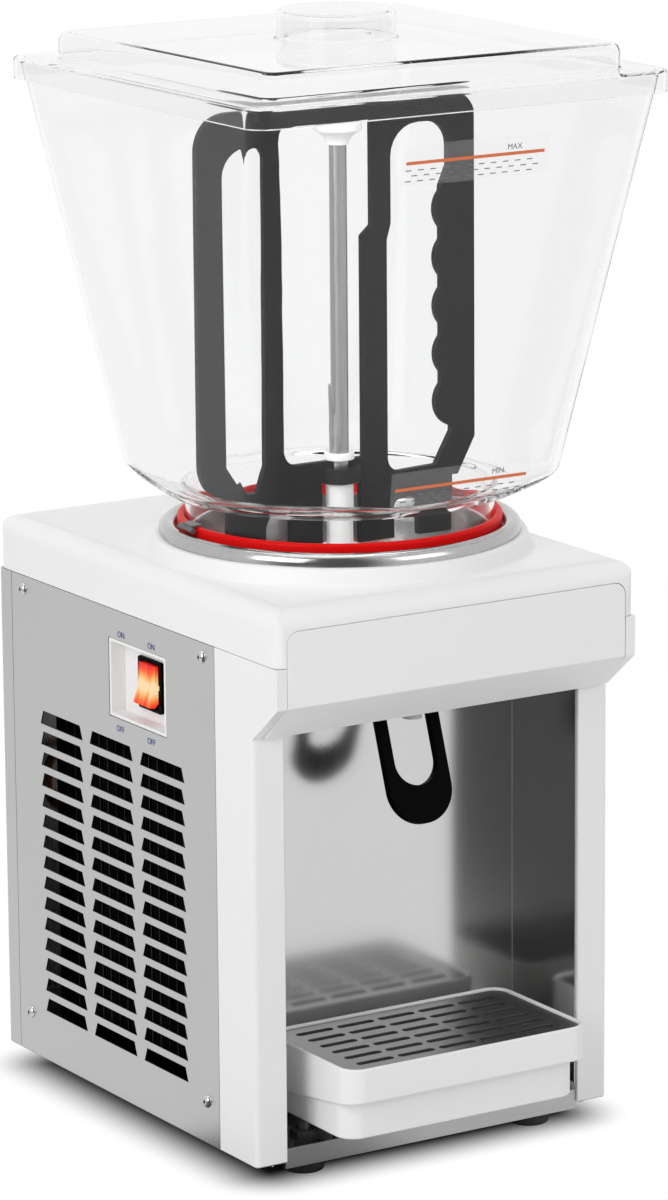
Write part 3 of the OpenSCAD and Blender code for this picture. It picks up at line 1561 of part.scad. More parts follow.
module cord_gland() {
    inside = 8;
    color(rubber) from_front() translate([gland_x, cab_d, gland_z]) rotate([-90, 0, 0])
        rotate_extrude() polygon([
            [gland_bore_r, -sheet - inside], [gland_r - 3, -sheet - inside], [gland_r - 2, -sheet - 1],
            [gland_r - 2, 0], [gland_r, 0], [gland_r, gland_out - 2], [gland_r - 2, gland_out],
            [gland_bore_r, gland_out]]);
}

base_plate();
rubber_feet();
foot_studs();
side_panel_left();
side_panel_right();
back_panel();
column_left();
column_right();
alcove_liner();
deck_plate();
top_cover();
front_fascia();
panel_screws();
column_screws();
switch_box();
switch_bezel();
switch_rocker();
evaporator_dish();
evaporator_coil();
insulation();
standpipe();
bowl_seal();
seal_clip();
bowl();
lid();
agitator_paddle();
agitator_rod();
rod_cap();
hub_collar();
gear_motor();
drive_coupling();
tap_bracket();
lever_pin();
lever_spring();
outlet_nipple();
pinch_tube();
tap_lever();
pinch_bar();
tray_shelf();
drip_tray();
drip_grille();
compressor();
compressor_mounts();
condenser();
fan_shroud();
fan_motor();
fan_blades_wheel();
filter_drier();
refrigerant_pipes();
thermostat();
terminal_block();
cord_gland();
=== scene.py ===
# %% [markdown]
# This scene dresses a counter-top juice dispenser: a steel cabinet, a clear square bowl with a mixing
# paddle, a push-lever tap and a drip tray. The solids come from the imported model, which is the frame.
# Blender adds soft edges, smooth clear walls, fine repeated detail and the finishes.

# %% Load the frame
import json
from math import cos, pi, radians, sin

import bmesh
import bpy
from mathutils import Matrix, Vector


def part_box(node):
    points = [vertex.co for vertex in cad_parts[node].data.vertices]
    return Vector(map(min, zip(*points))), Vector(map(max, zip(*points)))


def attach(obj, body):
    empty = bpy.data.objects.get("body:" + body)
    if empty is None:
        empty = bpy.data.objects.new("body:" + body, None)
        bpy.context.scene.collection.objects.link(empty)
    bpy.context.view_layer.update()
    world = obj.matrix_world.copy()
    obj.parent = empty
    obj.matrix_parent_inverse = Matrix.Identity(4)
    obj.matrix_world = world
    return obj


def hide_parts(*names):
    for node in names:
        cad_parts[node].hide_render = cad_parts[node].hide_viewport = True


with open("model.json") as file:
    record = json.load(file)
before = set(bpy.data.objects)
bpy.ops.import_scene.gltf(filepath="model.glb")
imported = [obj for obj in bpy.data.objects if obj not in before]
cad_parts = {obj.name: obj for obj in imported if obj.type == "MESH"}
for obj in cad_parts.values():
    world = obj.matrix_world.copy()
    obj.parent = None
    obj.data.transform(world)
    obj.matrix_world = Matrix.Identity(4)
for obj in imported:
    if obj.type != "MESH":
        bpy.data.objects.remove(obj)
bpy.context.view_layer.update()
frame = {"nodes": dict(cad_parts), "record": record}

MM = 0.001
scene = bpy.context.scene
scene.view_settings.view_transform = "Standard"
nodes = frame["nodes"]
slot_of = {part["node"]: part["material_slot"] for part in frame["record"]["subparts"]}
bodies = frame["record"]["behaviour"]["bodies"]
body_of = {node: body for body, members in bodies.items() for node in members}

# %% [markdown]
# The photograph was taken with a long lens from the front left, from a little above the lid. A camera
# could be aimed with a Track To constraint, but that would lose the picture's small roll. So the fitted
# direction and roll become the camera's three axes, which are written straight into its matrix.

# %% Camera
AZIMUTH, ELEVATION, ROLL = radians(-32.0316), radians(12.9809), radians(-0.4477)
AIM, DISTANCE = Vector((0.02865, 0.02118, 0.31964)), 3.508
FOCAL_LENGTH, SENSOR_WIDTH, FAR_CLIP = 165, 36, 50
away = Vector((sin(AZIMUTH) * cos(ELEVATION), -cos(AZIMUTH) * cos(ELEVATION), sin(ELEVATION)))
level = Vector((cos(AZIMUTH), sin(AZIMUTH), 0))
upright = away.cross(level)
across = level * cos(ROLL) + upright * sin(ROLL)
upwards = upright * cos(ROLL) - level * sin(ROLL)
lens = bpy.data.cameras.new("camera")
lens.lens, lens.sensor_width, lens.clip_end = FOCAL_LENGTH, SENSOR_WIDTH, FAR_CLIP
camera = bpy.data.objects.new("camera", lens)
axes = Matrix((across, upwards, away)).transposed().to_4x4()
camera.matrix_world = Matrix.Translation(AIM + away * DISTANCE) @ axes
scene.collection.objects.link(camera)
scene.camera = camera
print("camera at", [round(c, 3) for c in camera.matrix_world.translation])

# %% [markdown]
# Finishes are node trees. Written as plain node code they get long, so a small class wraps a socket and
# lets Python's own operators add the Math nodes, and one method adds any other node.

# %% Shader expressions
class Socket:
    """A socket whose operators add Math nodes."""

    def __init__(self, paint, link):
        self.paint, self.link = paint, link

    def math(self, operation, *values):
        return self.paint.node("Math", {"operation": operation}, dict(enumerate(values)))

    def __add__(self, other):
        return self.math("ADD", self, other)

    def __sub__(self, other):
        return self.math("SUBTRACT", self, other)

    def __rsub__(self, other):
        return self.math("SUBTRACT", other, self)

    def __mul__(self, other):
        return self.math("MULTIPLY", self, other)

    def __pow__(self, other):
        return self.math("POWER", self, other)

    __radd__, __rmul__ = __add__, __mul__


class Paint:
    """A node tree that is filled one expression at a time."""

    def __init__(self, tree):
        self.tree = tree
        tree.nodes.clear()

    def node(self, kind, settings=None, inputs=None, out=0):
        """Adds a node: its settings first, then the values or links of its sockets."""
        new = self.tree.nodes.new(kind if kind.startswith(("Geometry", "Node")) else "ShaderNode" + kind)
        for key, value in (settings or {}).items():
            if key == "stops":
                for i, (at, colour) in enumerate(value):
                    stop = new.color_ramp.elements[i] if i < 2 else new.color_ramp.elements.new(at)
                    stop.position, stop.color = at, (*colour, 1)
            else:
                setattr(new, key, value)
        for key, value in (inputs or {}).items():
            if isinstance(value, Socket):
                self.tree.links.new(value.link, new.inputs[key])
            else:
                new.inputs[key].default_value = value
        return Socket(self, new.outputs[out]) if len(new.outputs) else None

    def grain(self, scale, stretch=(1, 1, 1), detail=3.0):
        """Noise on the piece's own coordinates, finer along an axis with a larger stretch."""
        place = self.node("TexCoord", out="Object")
        turned = self.node("Mapping", inputs={"Vector": place, "Scale": stretch})
        return self.node("TexNoise", inputs={"Vector": turned, "Scale": scale, "Detail": detail})

    def ramp(self, value, start, end):
        """A soft step from 0 to 1 as a value goes from start to end."""
        return self.node("MapRange", {"interpolation_type": "SMOOTHSTEP"}, {0: value, 1: start, 2: end})

    def tint(self, factor, low, high):
        """A colour between two others, which are sockets 6 and 7 of a Mix node, as output 2 is the result."""
        return self.node("Mix", {"data_type": "RGBA"}, {0: factor, 6: (*low, 1), 7: (*high, 1)}, 2)

    def bump(self, height, strength, distance):
        return self.node("Bump", inputs={"Height": height, "Strength": strength, "Distance": distance})


print("shader helpers", Socket.__name__, Paint.__name__)

# %% [markdown]
# The setting is a white studio. Camera, mirror and glass rays see white, apart from the front left, where
# the viewer stands: there mirror rays see a dark room, which gives the alcove's steel its dark right wall.
# A dark card could do that too, but it would stand in the way of other views. All other rays get a plain
# soft fill, so a colour renders about as it is written.

# %% World
DARK_ROOM, SOFT_FILL = 0.86, 0.5
ROOM_ACROSS, ROOM_AHEAD = (0.12, -0.35), (0.0, -0.45)


def ray_kinds(paint):
    """Masks: a ray from the camera, one off a mirror or through a clear wall, one that met no clear wall."""
    direct, glossy, through, depth = (paint.node("LightPath", out=name) for name in (
        "Is Camera Ray", "Is Glossy Ray", "Is Transmission Ray", "Transmission Depth"))
    mirror = glossy.math("MAXIMUM", glossy, through) * (1 - direct)
    return direct, mirror, 1 - depth.math("MINIMUM", depth, 1.0)


def room_seen(paint, way, bare):
    """What a mirror sees along a way: white, and dark to the front left if no clear wall was met."""
    x, y = (paint.node("SeparateXYZ", inputs={0: way}, out=letter) for letter in "XY")
    return 1 - DARK_ROOM * bare * paint.ramp(x, *ROOM_ACROSS) * paint.ramp(y, *ROOM_AHEAD)


world = bpy.data.worlds.new("studio")
scene.world = world
world.use_nodes = True
paint = Paint(world.node_tree)
direct, mirror, bare = ray_kinds(paint)
room = room_seen(paint, paint.node("TexCoord", out="Generated"), bare)
strength = SOFT_FILL * (1 - direct - mirror) + direct + mirror * room
light = paint.node("Background", inputs={"Color": (1, 1, 1, 1), "Strength": strength})
paint.node("OutputWorld", inputs={"Surface": light})
print("world", world.name, "fill", SOFT_FILL)

# %% [markdown]
# The floor is a wide disc. To the camera it glows white, so it runs into the white studio with no horizon.
# To mirrors it glows white too, but towards the front left its glow is darkened: a painted reflection of
# the world's dark room. A shadow would be lost on a glow, so close to the machine the glow gives way to a
# near black paper that only camera and mirror rays see: a painted contact shadow, on which the lamps' real
# shadow also falls. Light that bounces off the floor meets pale paper everywhere.

# %% Floor
FLOOR_RADIUS, FLOOR_SIDES = 14, 96
# Reach and tone of the painted contact shadow around the machine's footprint.
PAINTED_SHADOW_INSET, PAINTED_SHADOW_REACH = 0.024, 0.052
PAINTED_SHADOW_TONE, PAPER_TONE = 0.04, 0.80


def past_footprint(paint, place, node):
    """How far a place lies outside a solid's footprint, which is first drawn in by the inset."""
    low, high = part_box(node)
    squares = []
    for k, letter in enumerate("XY"):
        along = paint.node("SeparateXYZ", inputs={0: place}, out=letter) - (low[k] + high[k]) / 2
        beyond = along.math("ABSOLUTE", along) - (high[k] - low[k]) / 2 + PAINTED_SHADOW_INSET
        squares.append(beyond.math("MAXIMUM", beyond, 0.0) ** 2)
    return (squares[0] + squares[1]) ** 0.5


bm = bmesh.new()
bmesh.ops.create_circle(bm, cap_ends=True, radius=FLOOR_RADIUS, segments=FLOOR_SIDES)
mesh = bpy.data.meshes.new("floor")
bm.to_mesh(mesh)
bm.free()
floor = bpy.data.objects.new("floor", mesh)
scene.collection.objects.link(floor)
pale_floor = bpy.data.materials.new("pale_floor")
pale_floor.use_nodes = True
paint = Paint(pale_floor.node_tree)
direct, mirror, bare = ray_kinds(paint)
place = paint.node("TexCoord", out="Object")
# Painted reflection: to mirrors the floor's glow darkens towards the front left, like the world's dark room.
room = room_seen(paint, paint.node("VectorMath", {"operation": "NORMALIZE"}, {0: place}), bare)
# Painted contact shadow: camera and mirror rays see the paper near black, all other rays see it pale.
tone = paint.tint(direct + mirror, [PAPER_TONE] * 3, [PAINTED_SHADOW_TONE] * 3)
painted_shadow_paper = paint.node("BsdfDiffuse", inputs={"Color": tone})
seen = paint.tint(direct + mirror * room, (0, 0, 0), (1, 1, 1))
glow = paint.node("Emission", inputs={"Color": seen, "Strength": 1.0})
# Share of glow: none close to the machine, where the painted shadow shows, and all of it further out.
white = (direct + mirror) * paint.ramp(past_footprint(paint, place, "base_plate"), 0.0, PAINTED_SHADOW_REACH)
mixed = paint.node("MixShader", inputs={0: white, 1: painted_shadow_paper, 2: glow})
paint.node("OutputMaterial", inputs={"Surface": mixed})
mesh.materials.append(pale_floor)
print("floor", FLOOR_RADIUS, "m, nodes", len(pale_floor.node_tree.nodes))

# %% [markdown]
# Three large soft lamps do the work of softboxes. The strongest stands at the left, because the
# columns' left faces are the brightest plain surfaces. The others fill the front and the top.

# %% Lamps
LAMP_AIM = Vector((0, 0, 0.35))


def softbox(name, place, size, watts):
    light = bpy.data.lights.new(name, "AREA")
    light.shape, light.size, light.size_y, light.energy = "RECTANGLE", size[0], size[1], watts
    lamp = bpy.data.objects.new(name, light)
    facing = (LAMP_AIM - Vector(place)).to_track_quat("-Z", "Y").to_matrix().to_4x4()
    lamp.matrix_world = Matrix.Translation(place) @ facing
    scene.collection.objects.link(lamp)


softbox("left_box", (-2.2, -0.8, 1.3), (1.4, 1.8), 29)
softbox("front_box", (0.9, -2.4, 1.3), (1.6, 1.6), 14.5)
softbox("top_box", (0.1, 0.2, 2.4), (1.6, 1.6), 12.5)

# %% [markdown]
# A finish is a function that says what goes into a Principled shader, and its name is the material's name.
# Clear plastic would throw a black shadow, because Cycles finds no straight way for lamp light through it.
# So a clear finish may say how much of that light it lets through, and a Mix Shader does this for shadow
# rays alone.

# %% From a finish to a material
FINISHES = {}


def finish(name, build):
    material = bpy.data.materials.new(name)
    material.use_nodes = True
    paint = Paint(material.node_tree)
    inputs = build(paint)
    lets_through = inputs.pop("lets_through", 0)
    shader = paint.node("BsdfPrincipled", inputs=inputs)
    if lets_through:
        shadow = paint.node("LightPath", out="Is Shadow Ray")
        clear = paint.node("BsdfTransparent")
        shader = paint.node("MixShader", inputs={0: shadow * lets_through, 1: shader, 2: clear})
    paint.node("OutputMaterial", inputs={"Surface": shader})
    FINISHES[name] = material


def make_finishes(*builds):
    for build in builds:
        finish(build.__name__, build)
    print("finishes", *(build.__name__ for build in builds))


print("finishes so far", len(FINISHES))

# %% [markdown]
# The cabinet's sheets and the alcove are brushed steel. A picture of the grain could be laid on them, but
# noise that is stretched along the grain stays sharp at any distance. It drives roughness and a very
# shallow bump, because brushed lines change how a surface shines more than its colour.

# %% Steel finishes
BRUSHED_UP, BRUSHED_ACROSS = (1600, 1600, 14), (14, 1600, 1600)


def stainless(p):
    fine = p.grain(1, BRUSHED_UP)
    tone = p.tint(0.2 * fine + 0.8 * p.grain(4), (0.46, 0.46, 0.46), (0.53, 0.53, 0.525))
    return {"Base Color": tone, "Metallic": 1.0, "Roughness": 0.25 + 0.06 * fine,
            "Normal": p.bump(fine, 0.03, 0.00003)}


def liner_steel(p):
    fine = p.grain(1, BRUSHED_UP)
    tone = p.tint(p.grain(4), (0.58, 0.58, 0.58), (0.64, 0.64, 0.635))
    return {"Base Color": tone, "Metallic": 1.0, "Roughness": 0.13 + 0.06 * fine,
            "Normal": p.bump(fine, 0.03, 0.00002)}


def pan_steel(p):
    fine = p.grain(1, BRUSHED_ACROSS)
    tone = p.tint(fine, (0.36, 0.36, 0.36), (0.44, 0.44, 0.437))
    return {"Base Color": tone, "Metallic": 1.0, "Roughness": 0.4 + 0.08 * fine,
            "Normal": p.bump(fine, 0.05, 0.00003)}


def rolled_steel(p):
    fine = p.grain(300)
    tone = p.tint(fine, (0.40, 0.40, 0.398), (0.48, 0.48, 0.477))
    return {"Base Color": tone, "Metallic": 1.0, "Roughness": 0.14 + 0.08 * fine}


def rod_steel(p):
    fine = p.grain(1, (900, 900, 30))
    tone = p.tint(fine, (0.31, 0.31, 0.31), (0.40, 0.40, 0.397))
    return {"Base Color": tone, "Metallic": 1.0, "Roughness": 0.2 + 0.1 * fine}


def dark_steel(p):
    fine = p.grain(1, (20, 1200, 1200))
    tone = p.tint(fine, (0.115, 0.115, 0.119), (0.165, 0.165, 0.169))
    return {"Base Color": tone, "Metallic": 0.85, "Roughness": 0.34 + 0.1 * fine,
            "Normal": p.bump(fine, 0.15, 0.00005)}


def bright_steel(p):
    fine = p.grain(700)
    tone = p.tint(fine, (0.52, 0.52, 0.52), (0.62, 0.62, 0.61))
    return {"Base Color": tone, "Metallic": 1.0, "Roughness": 0.1 + 0.12 * fine}


make_finishes(stainless, liner_steel, pan_steel, rolled_steel, rod_steel, dark_steel, bright_steel)

# %% [markdown]
# Behind the panels are galvanised sheet, copper pipe and cast aluminium. Zinc grows in flat crystals, so a
# Voronoi pattern with one shade for each cell stands for its spangle. Copper darkens in patches, and cast
# metal has a grainy skin, so plain noise does for both.

# %% Metals inside the cabinet
def zinc_sheet(p):
    place = p.node("TexCoord", out="Object")
    spangle = p.node("TexVoronoi", inputs={"Vector": place, "Scale": 110.0}, out="Color")
    shade = p.node("SeparateColor", inputs={0: spangle})
    tone = p.tint(shade, (0.36, 0.37, 0.38), (0.5, 0.51, 0.52))
    return {"Base Color": tone, "Metallic": 0.9, "Roughness": 0.38 + 0.14 * shade}


def copper(p):
    tarnish = p.grain(60)
    tone = p.tint(tarnish, (0.20, 0.09, 0.05), (0.42, 0.20, 0.12))
    return {"Base Color": tone, "Metallic": 1.0, "Roughness": 0.22 + 0.25 * tarnish}


def aluminium(p):
    fine = p.grain(260)
    tone = p.tint(fine, (0.42, 0.42, 0.43), (0.55, 0.55, 0.56))
    return {"Base Color": tone, "Metallic": 0.9, "Roughness": 0.36 + 0.16 * fine,
            "Normal": p.bump(fine, 0.1, 0.0002)}


make_finishes(zinc_sheet, copper, aluminium)

# %% [markdown]
# The columns are painted sheet with a faint orange-peel texture, and the covers a smooth white moulding.
# Both could share one white, but paint shines more, so each has its own. A very broad noise shifts their
# tone a little, because no large surface has quite one colour.

# %% White finishes
def white_paint(p):
    peel = p.grain(520)
    tone = p.tint(p.grain(7), (0.80, 0.80, 0.80), (0.83, 0.83, 0.826))
    return {"Base Color": tone, "Roughness": 0.3 + 0.1 * peel, "Normal": p.bump(peel, 0.06, 0.0002)}


def white_plastic(p):
    skin = p.grain(900)
    tone = p.tint(p.grain(6), (0.82, 0.82, 0.82), (0.85, 0.85, 0.846))
    return {"Base Color": tone, "Roughness": 0.34 + 0.1 * skin, "Specular IOR Level": 0.15,
            "Normal": p.bump(skin, 0.04, 0.0001)}


def ivory_plastic(p):
    skin = p.grain(700)
    tone = p.tint(skin, (0.66, 0.60, 0.47), (0.74, 0.69, 0.56))
    return {"Base Color": tone, "Roughness": 0.4 + 0.12 * skin}


make_finishes(white_paint, white_plastic, ivory_plastic)

# %% [markdown]
# The paddle, the lever, the feet and the compressor are dark, and each shines in its own way. In a white
# studio a black piece shows mostly its gloss, so the specular level matters more here than the colour. It
# is the same all over a piece, so it is set on the shader's own socket.

# %% Dark finishes
def black_plastic(p):
    skin = p.grain(800)
    tone = p.tint(skin, (0.0008, 0.0008, 0.0009), (0.0016, 0.0016, 0.0017))
    return {"Base Color": tone, "Roughness": 0.38 + 0.14 * skin, "Specular IOR Level": 0.02,
            "Normal": p.bump(skin, 0.05, 0.0001)}


def dark_grey_plastic(p):
    skin = p.grain(1100)
    tone = p.tint(p.grain(25), (0.019, 0.019, 0.020), (0.026, 0.026, 0.027))
    return {"Base Color": tone, "Roughness": 0.4 + 0.16 * skin, "Specular IOR Level": 0.12,
            "Normal": p.bump(skin, 0.12, 0.0001)}


def black_rubber(p):
    skin = p.grain(900)
    tone = p.tint(skin, (0.010, 0.010, 0.010), (0.022, 0.022, 0.022))
    return {"Base Color": tone, "Roughness": 0.55 + 0.25 * skin, "Normal": p.bump(skin, 0.2, 0.0001)}


def black_enamel(p):
    peel = p.grain(240)
    tone = p.tint(peel, (0.0012, 0.0012, 0.0013), (0.0026, 0.0026, 0.0028))
    return {"Base Color": tone, "Roughness": 0.3 + 0.14 * peel, "Specular IOR Level": 0.1,
            "Normal": p.bump(peel, 0.12, 0.0003)}


make_finishes(black_plastic, dark_grey_plastic, black_rubber, black_enamel)

# %% [markdown]
# The soft pieces are the red seal under the bowl, the pale tube in the tap and the foam around the cold
# dish. Silicone has a satin skin, and foam is rough with a deep bump for its open cells.

# %% Soft finishes
def red_silicone(p):
    skin = p.grain(600)
    tone = p.tint(skin, (0.60, 0.0015, 0.0015), (0.70, 0.003, 0.002))
    return {"Base Color": tone, "Roughness": 0.34 + 0.12 * skin, "Specular IOR Level": 0.1,
            "Normal": p.bump(skin, 0.05, 0.0001)}


def pale_silicone(p):
    skin = p.grain(300)
    tone = p.tint(skin, (0.66, 0.65, 0.62), (0.76, 0.75, 0.72))
    return {"Base Color": tone, "Roughness": 0.35 + 0.1 * skin, "Transmission Weight": 0.25}


def foam(p):
    cell = p.grain(420)
    tone = p.tint(cell, (0.58, 0.47, 0.28), (0.78, 0.68, 0.46))
    return {"Base Color": tone, "Roughness": 0.8 + 0.15 * cell, "Normal": p.bump(cell, 0.5, 0.0006)}


make_finishes(red_silicone, pale_silicone, foam)

# %% [markdown]
# The bowl and lid are clear, with fine wiping marks in their gloss, and a thin film carries the level
# marks. A ray that runs along inside a clear wall is thrown back many times, and turns black when its
# bounces are used up. Blender stops at 4 for glossy rays, so the edges would be dark, and the limit rises.

# %% Clear finishes
CLEAR_WALL_BOUNCES = 24
scene.cycles.max_bounces = CLEAR_WALL_BOUNCES
scene.cycles.glossy_bounces = CLEAR_WALL_BOUNCES
scene.cycles.transmission_bounces = CLEAR_WALL_BOUNCES


def clear_plastic(p):
    wiped = p.grain(1, (60, 60, 8))
    tone = p.tint(wiped, (0.940, 0.943, 0.943), (0.950, 0.950, 0.950))
    return {"Base Color": tone, "Roughness": 0.012 * wiped, "IOR": 1.18, "Transmission Weight": 1.0,
            "lets_through": 0.92}


def label_film(p):
    tone = p.tint(p.grain(90), (0.80, 0.80, 0.80), (0.88, 0.88, 0.88))
    return {"Base Color": tone, "Roughness": 0.3, "Specular IOR Level": 0.1, "Alpha": 0.06,
            "lets_through": 0.9}


make_finishes(clear_plastic, label_film)

# %% [markdown]
# The rocker is lit by a small lamp inside, so it is yellow at its middle and deep red at its ends. A real
# lamp in a clear red shell would need many samples. A glow that falls off with height, streaked by the
# ribs inside the rocker, looks the same and renders fast.

# %% Lit rocker
GLOW_TOP, GLOW_FALL, GLOW_SHIFT, STREAKS = 1.15, 75, 0.001, 0.9
GLOW_STOPS = [(0.0, (0.35, 0.0, 0.0)), (1.0, (1.0, 0.88, 0.5)), (0.3, (0.95, 0.03, 0.005)),
              (0.55, (1.0, 0.22, 0.04)), (0.78, (1.0, 0.6, 0.2))]


def lit_red(p):
    low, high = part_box("switch_rocker")
    place = p.node("TexCoord", out="Object")
    height = p.node("SeparateXYZ", inputs={0: place}, out="Z") - (low.z + high.z) / 2
    streak = p.grain(1, (60, 420, 40), 2.0)
    heat = GLOW_TOP - height.math("ABSOLUTE", height + GLOW_SHIFT) * GLOW_FALL + (streak - 0.5) * STREAKS
    glow = p.node("ValToRGB", {"stops": GLOW_STOPS}, {0: heat})
    return {"Base Color": (0.3, 0.01, 0.003, 1), "Emission Color": glow, "Emission Strength": 0.78,
            "Specular IOR Level": 0.2, "Roughness": 0.3 + 0.1 * streak}


make_finishes(lit_red)

# %% [markdown]
# Inks differ only in colour, so one function makes them all. Most solids take the finish of the slot that
# the record gives them. A few steels that look different share one slot, and these are named here.

# %% Inks and special looks
INKS = {"orange_ink": (0.76, 0.19, 0.07), "grey_ink": (0.17, 0.17, 0.20), "blue_ink": (0.03, 0.06, 0.24)}
LOOKS = {"alcove_liner": "liner_steel", "base_plate": "pan_steel",
         "evaporator_dish": "rolled_steel", "agitator_rod": "rod_steel"}


def ink(colour):
    def printed(p):
        worn = p.grain(1500)
        tone = p.tint(worn, colour, [0.8 * c + 0.02 for c in colour])
        return {"Base Color": tone, "Roughness": 0.5 + 0.2 * worn, "Specular IOR Level": 0.2}
    return printed


for name, colour in INKS.items():
    finish(name, ink(colour))
print("finishes", len(FINISHES), "slots without one", sorted(set(slot_of.values()) - set(FINISHES)))

# %% [markdown]
# A solid from CAD has knife edges and flat triangles. Real sheet and moulded edges are a little round
# and catch a thin line of light. So each visible solid is copied, its triangles are merged into faces,
# its creases are bevelled, and weighted normals keep the flats flat. The copy then stands for the solid.

# %% From a mesh to a finished piece
CREASE = 32


def evaluated_mesh(obj):
    return bpy.data.meshes.new_from_object(obj.evaluated_get(bpy.context.evaluated_depsgraph_get()))


def settle(obj, body, look, slot, *stands_for):
    """Applies what is left to apply, gives a piece its finish and its body, and hides the solids it stands
    for.
    """
    baked = evaluated_mesh(obj)
    obj.modifiers.clear()
    obj.data = baked
    baked.name = obj.name
    baked.materials.clear()
    baked.materials.append(FINISHES[look])
    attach(obj, body)
    if stands_for:
        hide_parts(*stands_for)
    return obj


def raw_object(name, bm, crease=CREASE):
    mesh = bpy.data.meshes.new(name)
    bm.to_mesh(mesh)
    bm.free()
    mesh.shade_smooth()
    mesh.set_sharp_from_angle(angle=radians(crease))
    obj = bpy.data.objects.new(name, mesh)
    scene.collection.objects.link(obj)
    return obj


print("solids to dress", len(nodes))

# %% [markdown]
# How round an edge is depends on how the piece is made. Folded sheet keeps a tight edge of a quarter of a
# millimetre, mouldings have up to one and a half. Most pieces deep inside keep their edges as they are.

# %% Soft edges for the solids
EDGE_WIDTHS = {
    "side_panel_left": 0.25, "side_panel_right": 0.25, "back_panel": 0.25, "base_plate": 0.25,
    "alcove_liner": 0.25, "column_left": 0.7, "column_right": 0.7, "front_fascia": 1.0, "top_cover": 0.8,
    "switch_box": 0.5, "switch_bezel": 0.5, "switch_rocker": 0.4, "drip_tray": 1.1, "drip_grille": 0.35,
    "tap_lever": 1.4, "agitator_paddle": 1.0, "rod_cap": 0.5, "hub_collar": 0.5, "standpipe": 0.4,
    "seal_clip": 0.3, "foot_studs": 0.4, "tap_bracket": 0.3, "fan_blades_wheel": 0.3, "thermostat": 0.6,
    "terminal_block": 0.4, "compressor": 0.6,
}
EDGE_ROUNDS = 2
SAME_POINT, SAME_PLANE = 2e-6, radians(0.2)
SHAPED = ("bowl", "lid", "panel_screws", "column_screws")


def merged_copy(node):
    bm = bmesh.new()
    bm.from_mesh(nodes[node].data)
    bmesh.ops.remove_doubles(bm, verts=bm.verts, dist=SAME_POINT)
    return bm


def soften(node, width):
    bm = merged_copy(node)
    bmesh.ops.dissolve_limit(bm, angle_limit=SAME_PLANE, verts=bm.verts, edges=bm.edges)
    obj = raw_object(node + "_form", bm)
    if width:
        bevel = obj.modifiers.new("edges", "BEVEL")
        bevel.width, bevel.segments, bevel.limit_method = width * MM, EDGE_ROUNDS, "ANGLE"
        bevel.angle_limit = radians(CREASE)
        bevel.use_clamp_overlap = True
    flats = obj.modifiers.new("flats", "WEIGHTED_NORMAL")
    flats.keep_sharp = True
    settle(obj, body_of[node], LOOKS.get(node, slot_of[node]), slot_of[node], node)


for node in nodes:
    if node not in SHAPED:
        soften(node, EDGE_WIDTHS.get(node, 0.0))
print("softened", len(nodes) - len(SHAPED), "solids, bevelled", len(EDGE_WIDTHS))

# %% [markdown]
# The bowl and its lid are clear mouldings, so any facet would show twice, in front and behind. A cage under
# a subdivision surface would be smooth too, but its wall would thin at the corners. So both skins are
# lofted: rings of rounded squares, joined by quads. Every ring has the same number of points, so a square
# can turn into the round neck or knob.

# %% Lofted clear walls
CORNER_STEPS, LOFT_CREASE, LOFT_MERGE, LEAST_CORNER = 18, 60, 1e-6, 0.2
QUARTERS = ((1, 1), (-1, 1), (-1, -1), (1, -1))


def soft_ring(half, radius, z, centre):
    """The points of a rounded square, in metres, from sizes in millimetres."""
    points = []
    for quarter, (right, back) in enumerate(QUARTERS):
        turn = quarter * pi / 2
        cx, cy = (half - radius) * right, (half - radius) * back
        for step in range(CORNER_STEPS + 1):
            a = turn + step * pi / 2 / CORNER_STEPS
            x, y = (cx + radius * cos(a)) * MM, (cy + radius * sin(a)) * MM
            points.append(Vector((centre[0] + x, centre[1] + y, z * MM)))
    return points


def loft(name, rings, centre, closed):
    """A skin over rings of half width, corner radius and height. A closed one joins its last to its first."""
    bm = bmesh.new()
    loops = [[bm.verts.new(p) for p in soft_ring(*ring, centre)] for ring in rings]
    for a, b in zip(loops, loops[1:] + loops[:1] if closed else loops[1:]):
        for i in range(len(a)):
            j = (i + 1) % len(a)
            bm.faces.new((a[i], a[j], b[j], b[i]))
    if not closed:
        bm.faces.new(loops[0])
        bm.faces.new(loops[-1])
    bmesh.ops.remove_doubles(bm, verts=bm.verts, dist=LOFT_MERGE)
    bmesh.ops.recalc_face_normals(bm, faces=bm.faces)
    obj = raw_object(name, bm, LOFT_CREASE)
    obj.modifiers.new("flats", "WEIGHTED_NORMAL").keep_sharp = True
    return obj


def round_ring(radius, z):
    """A ring whose corners meet is a circle."""
    return radius, radius, z


def bend(half, radius, z, turn, size, start, steps=4):
    """Rings around a rounded edge whose middle is at (half, z), from an angle through a turn."""
    rings = []
    for i in range(steps + 1):
        a = radians(start + turn * i / steps)
        out = size * cos(a)
        rings.append((half + out, max(radius + out, LEAST_CORNER), z + size * sin(a)))
    return rings


print("points in a ring", len(soft_ring(100, 20, 0, (0, 0))))

# %% [markdown]
# The bowl leans in from its rim to its foot, where its corners get rounder, and its floor ends in a round
# neck that sits in the seal. Its rings run down the outside, round the neck's lower edge, up the inside
# and over the rim. The rim, the neck's foot and the bowl's middle are read from the solid's box.

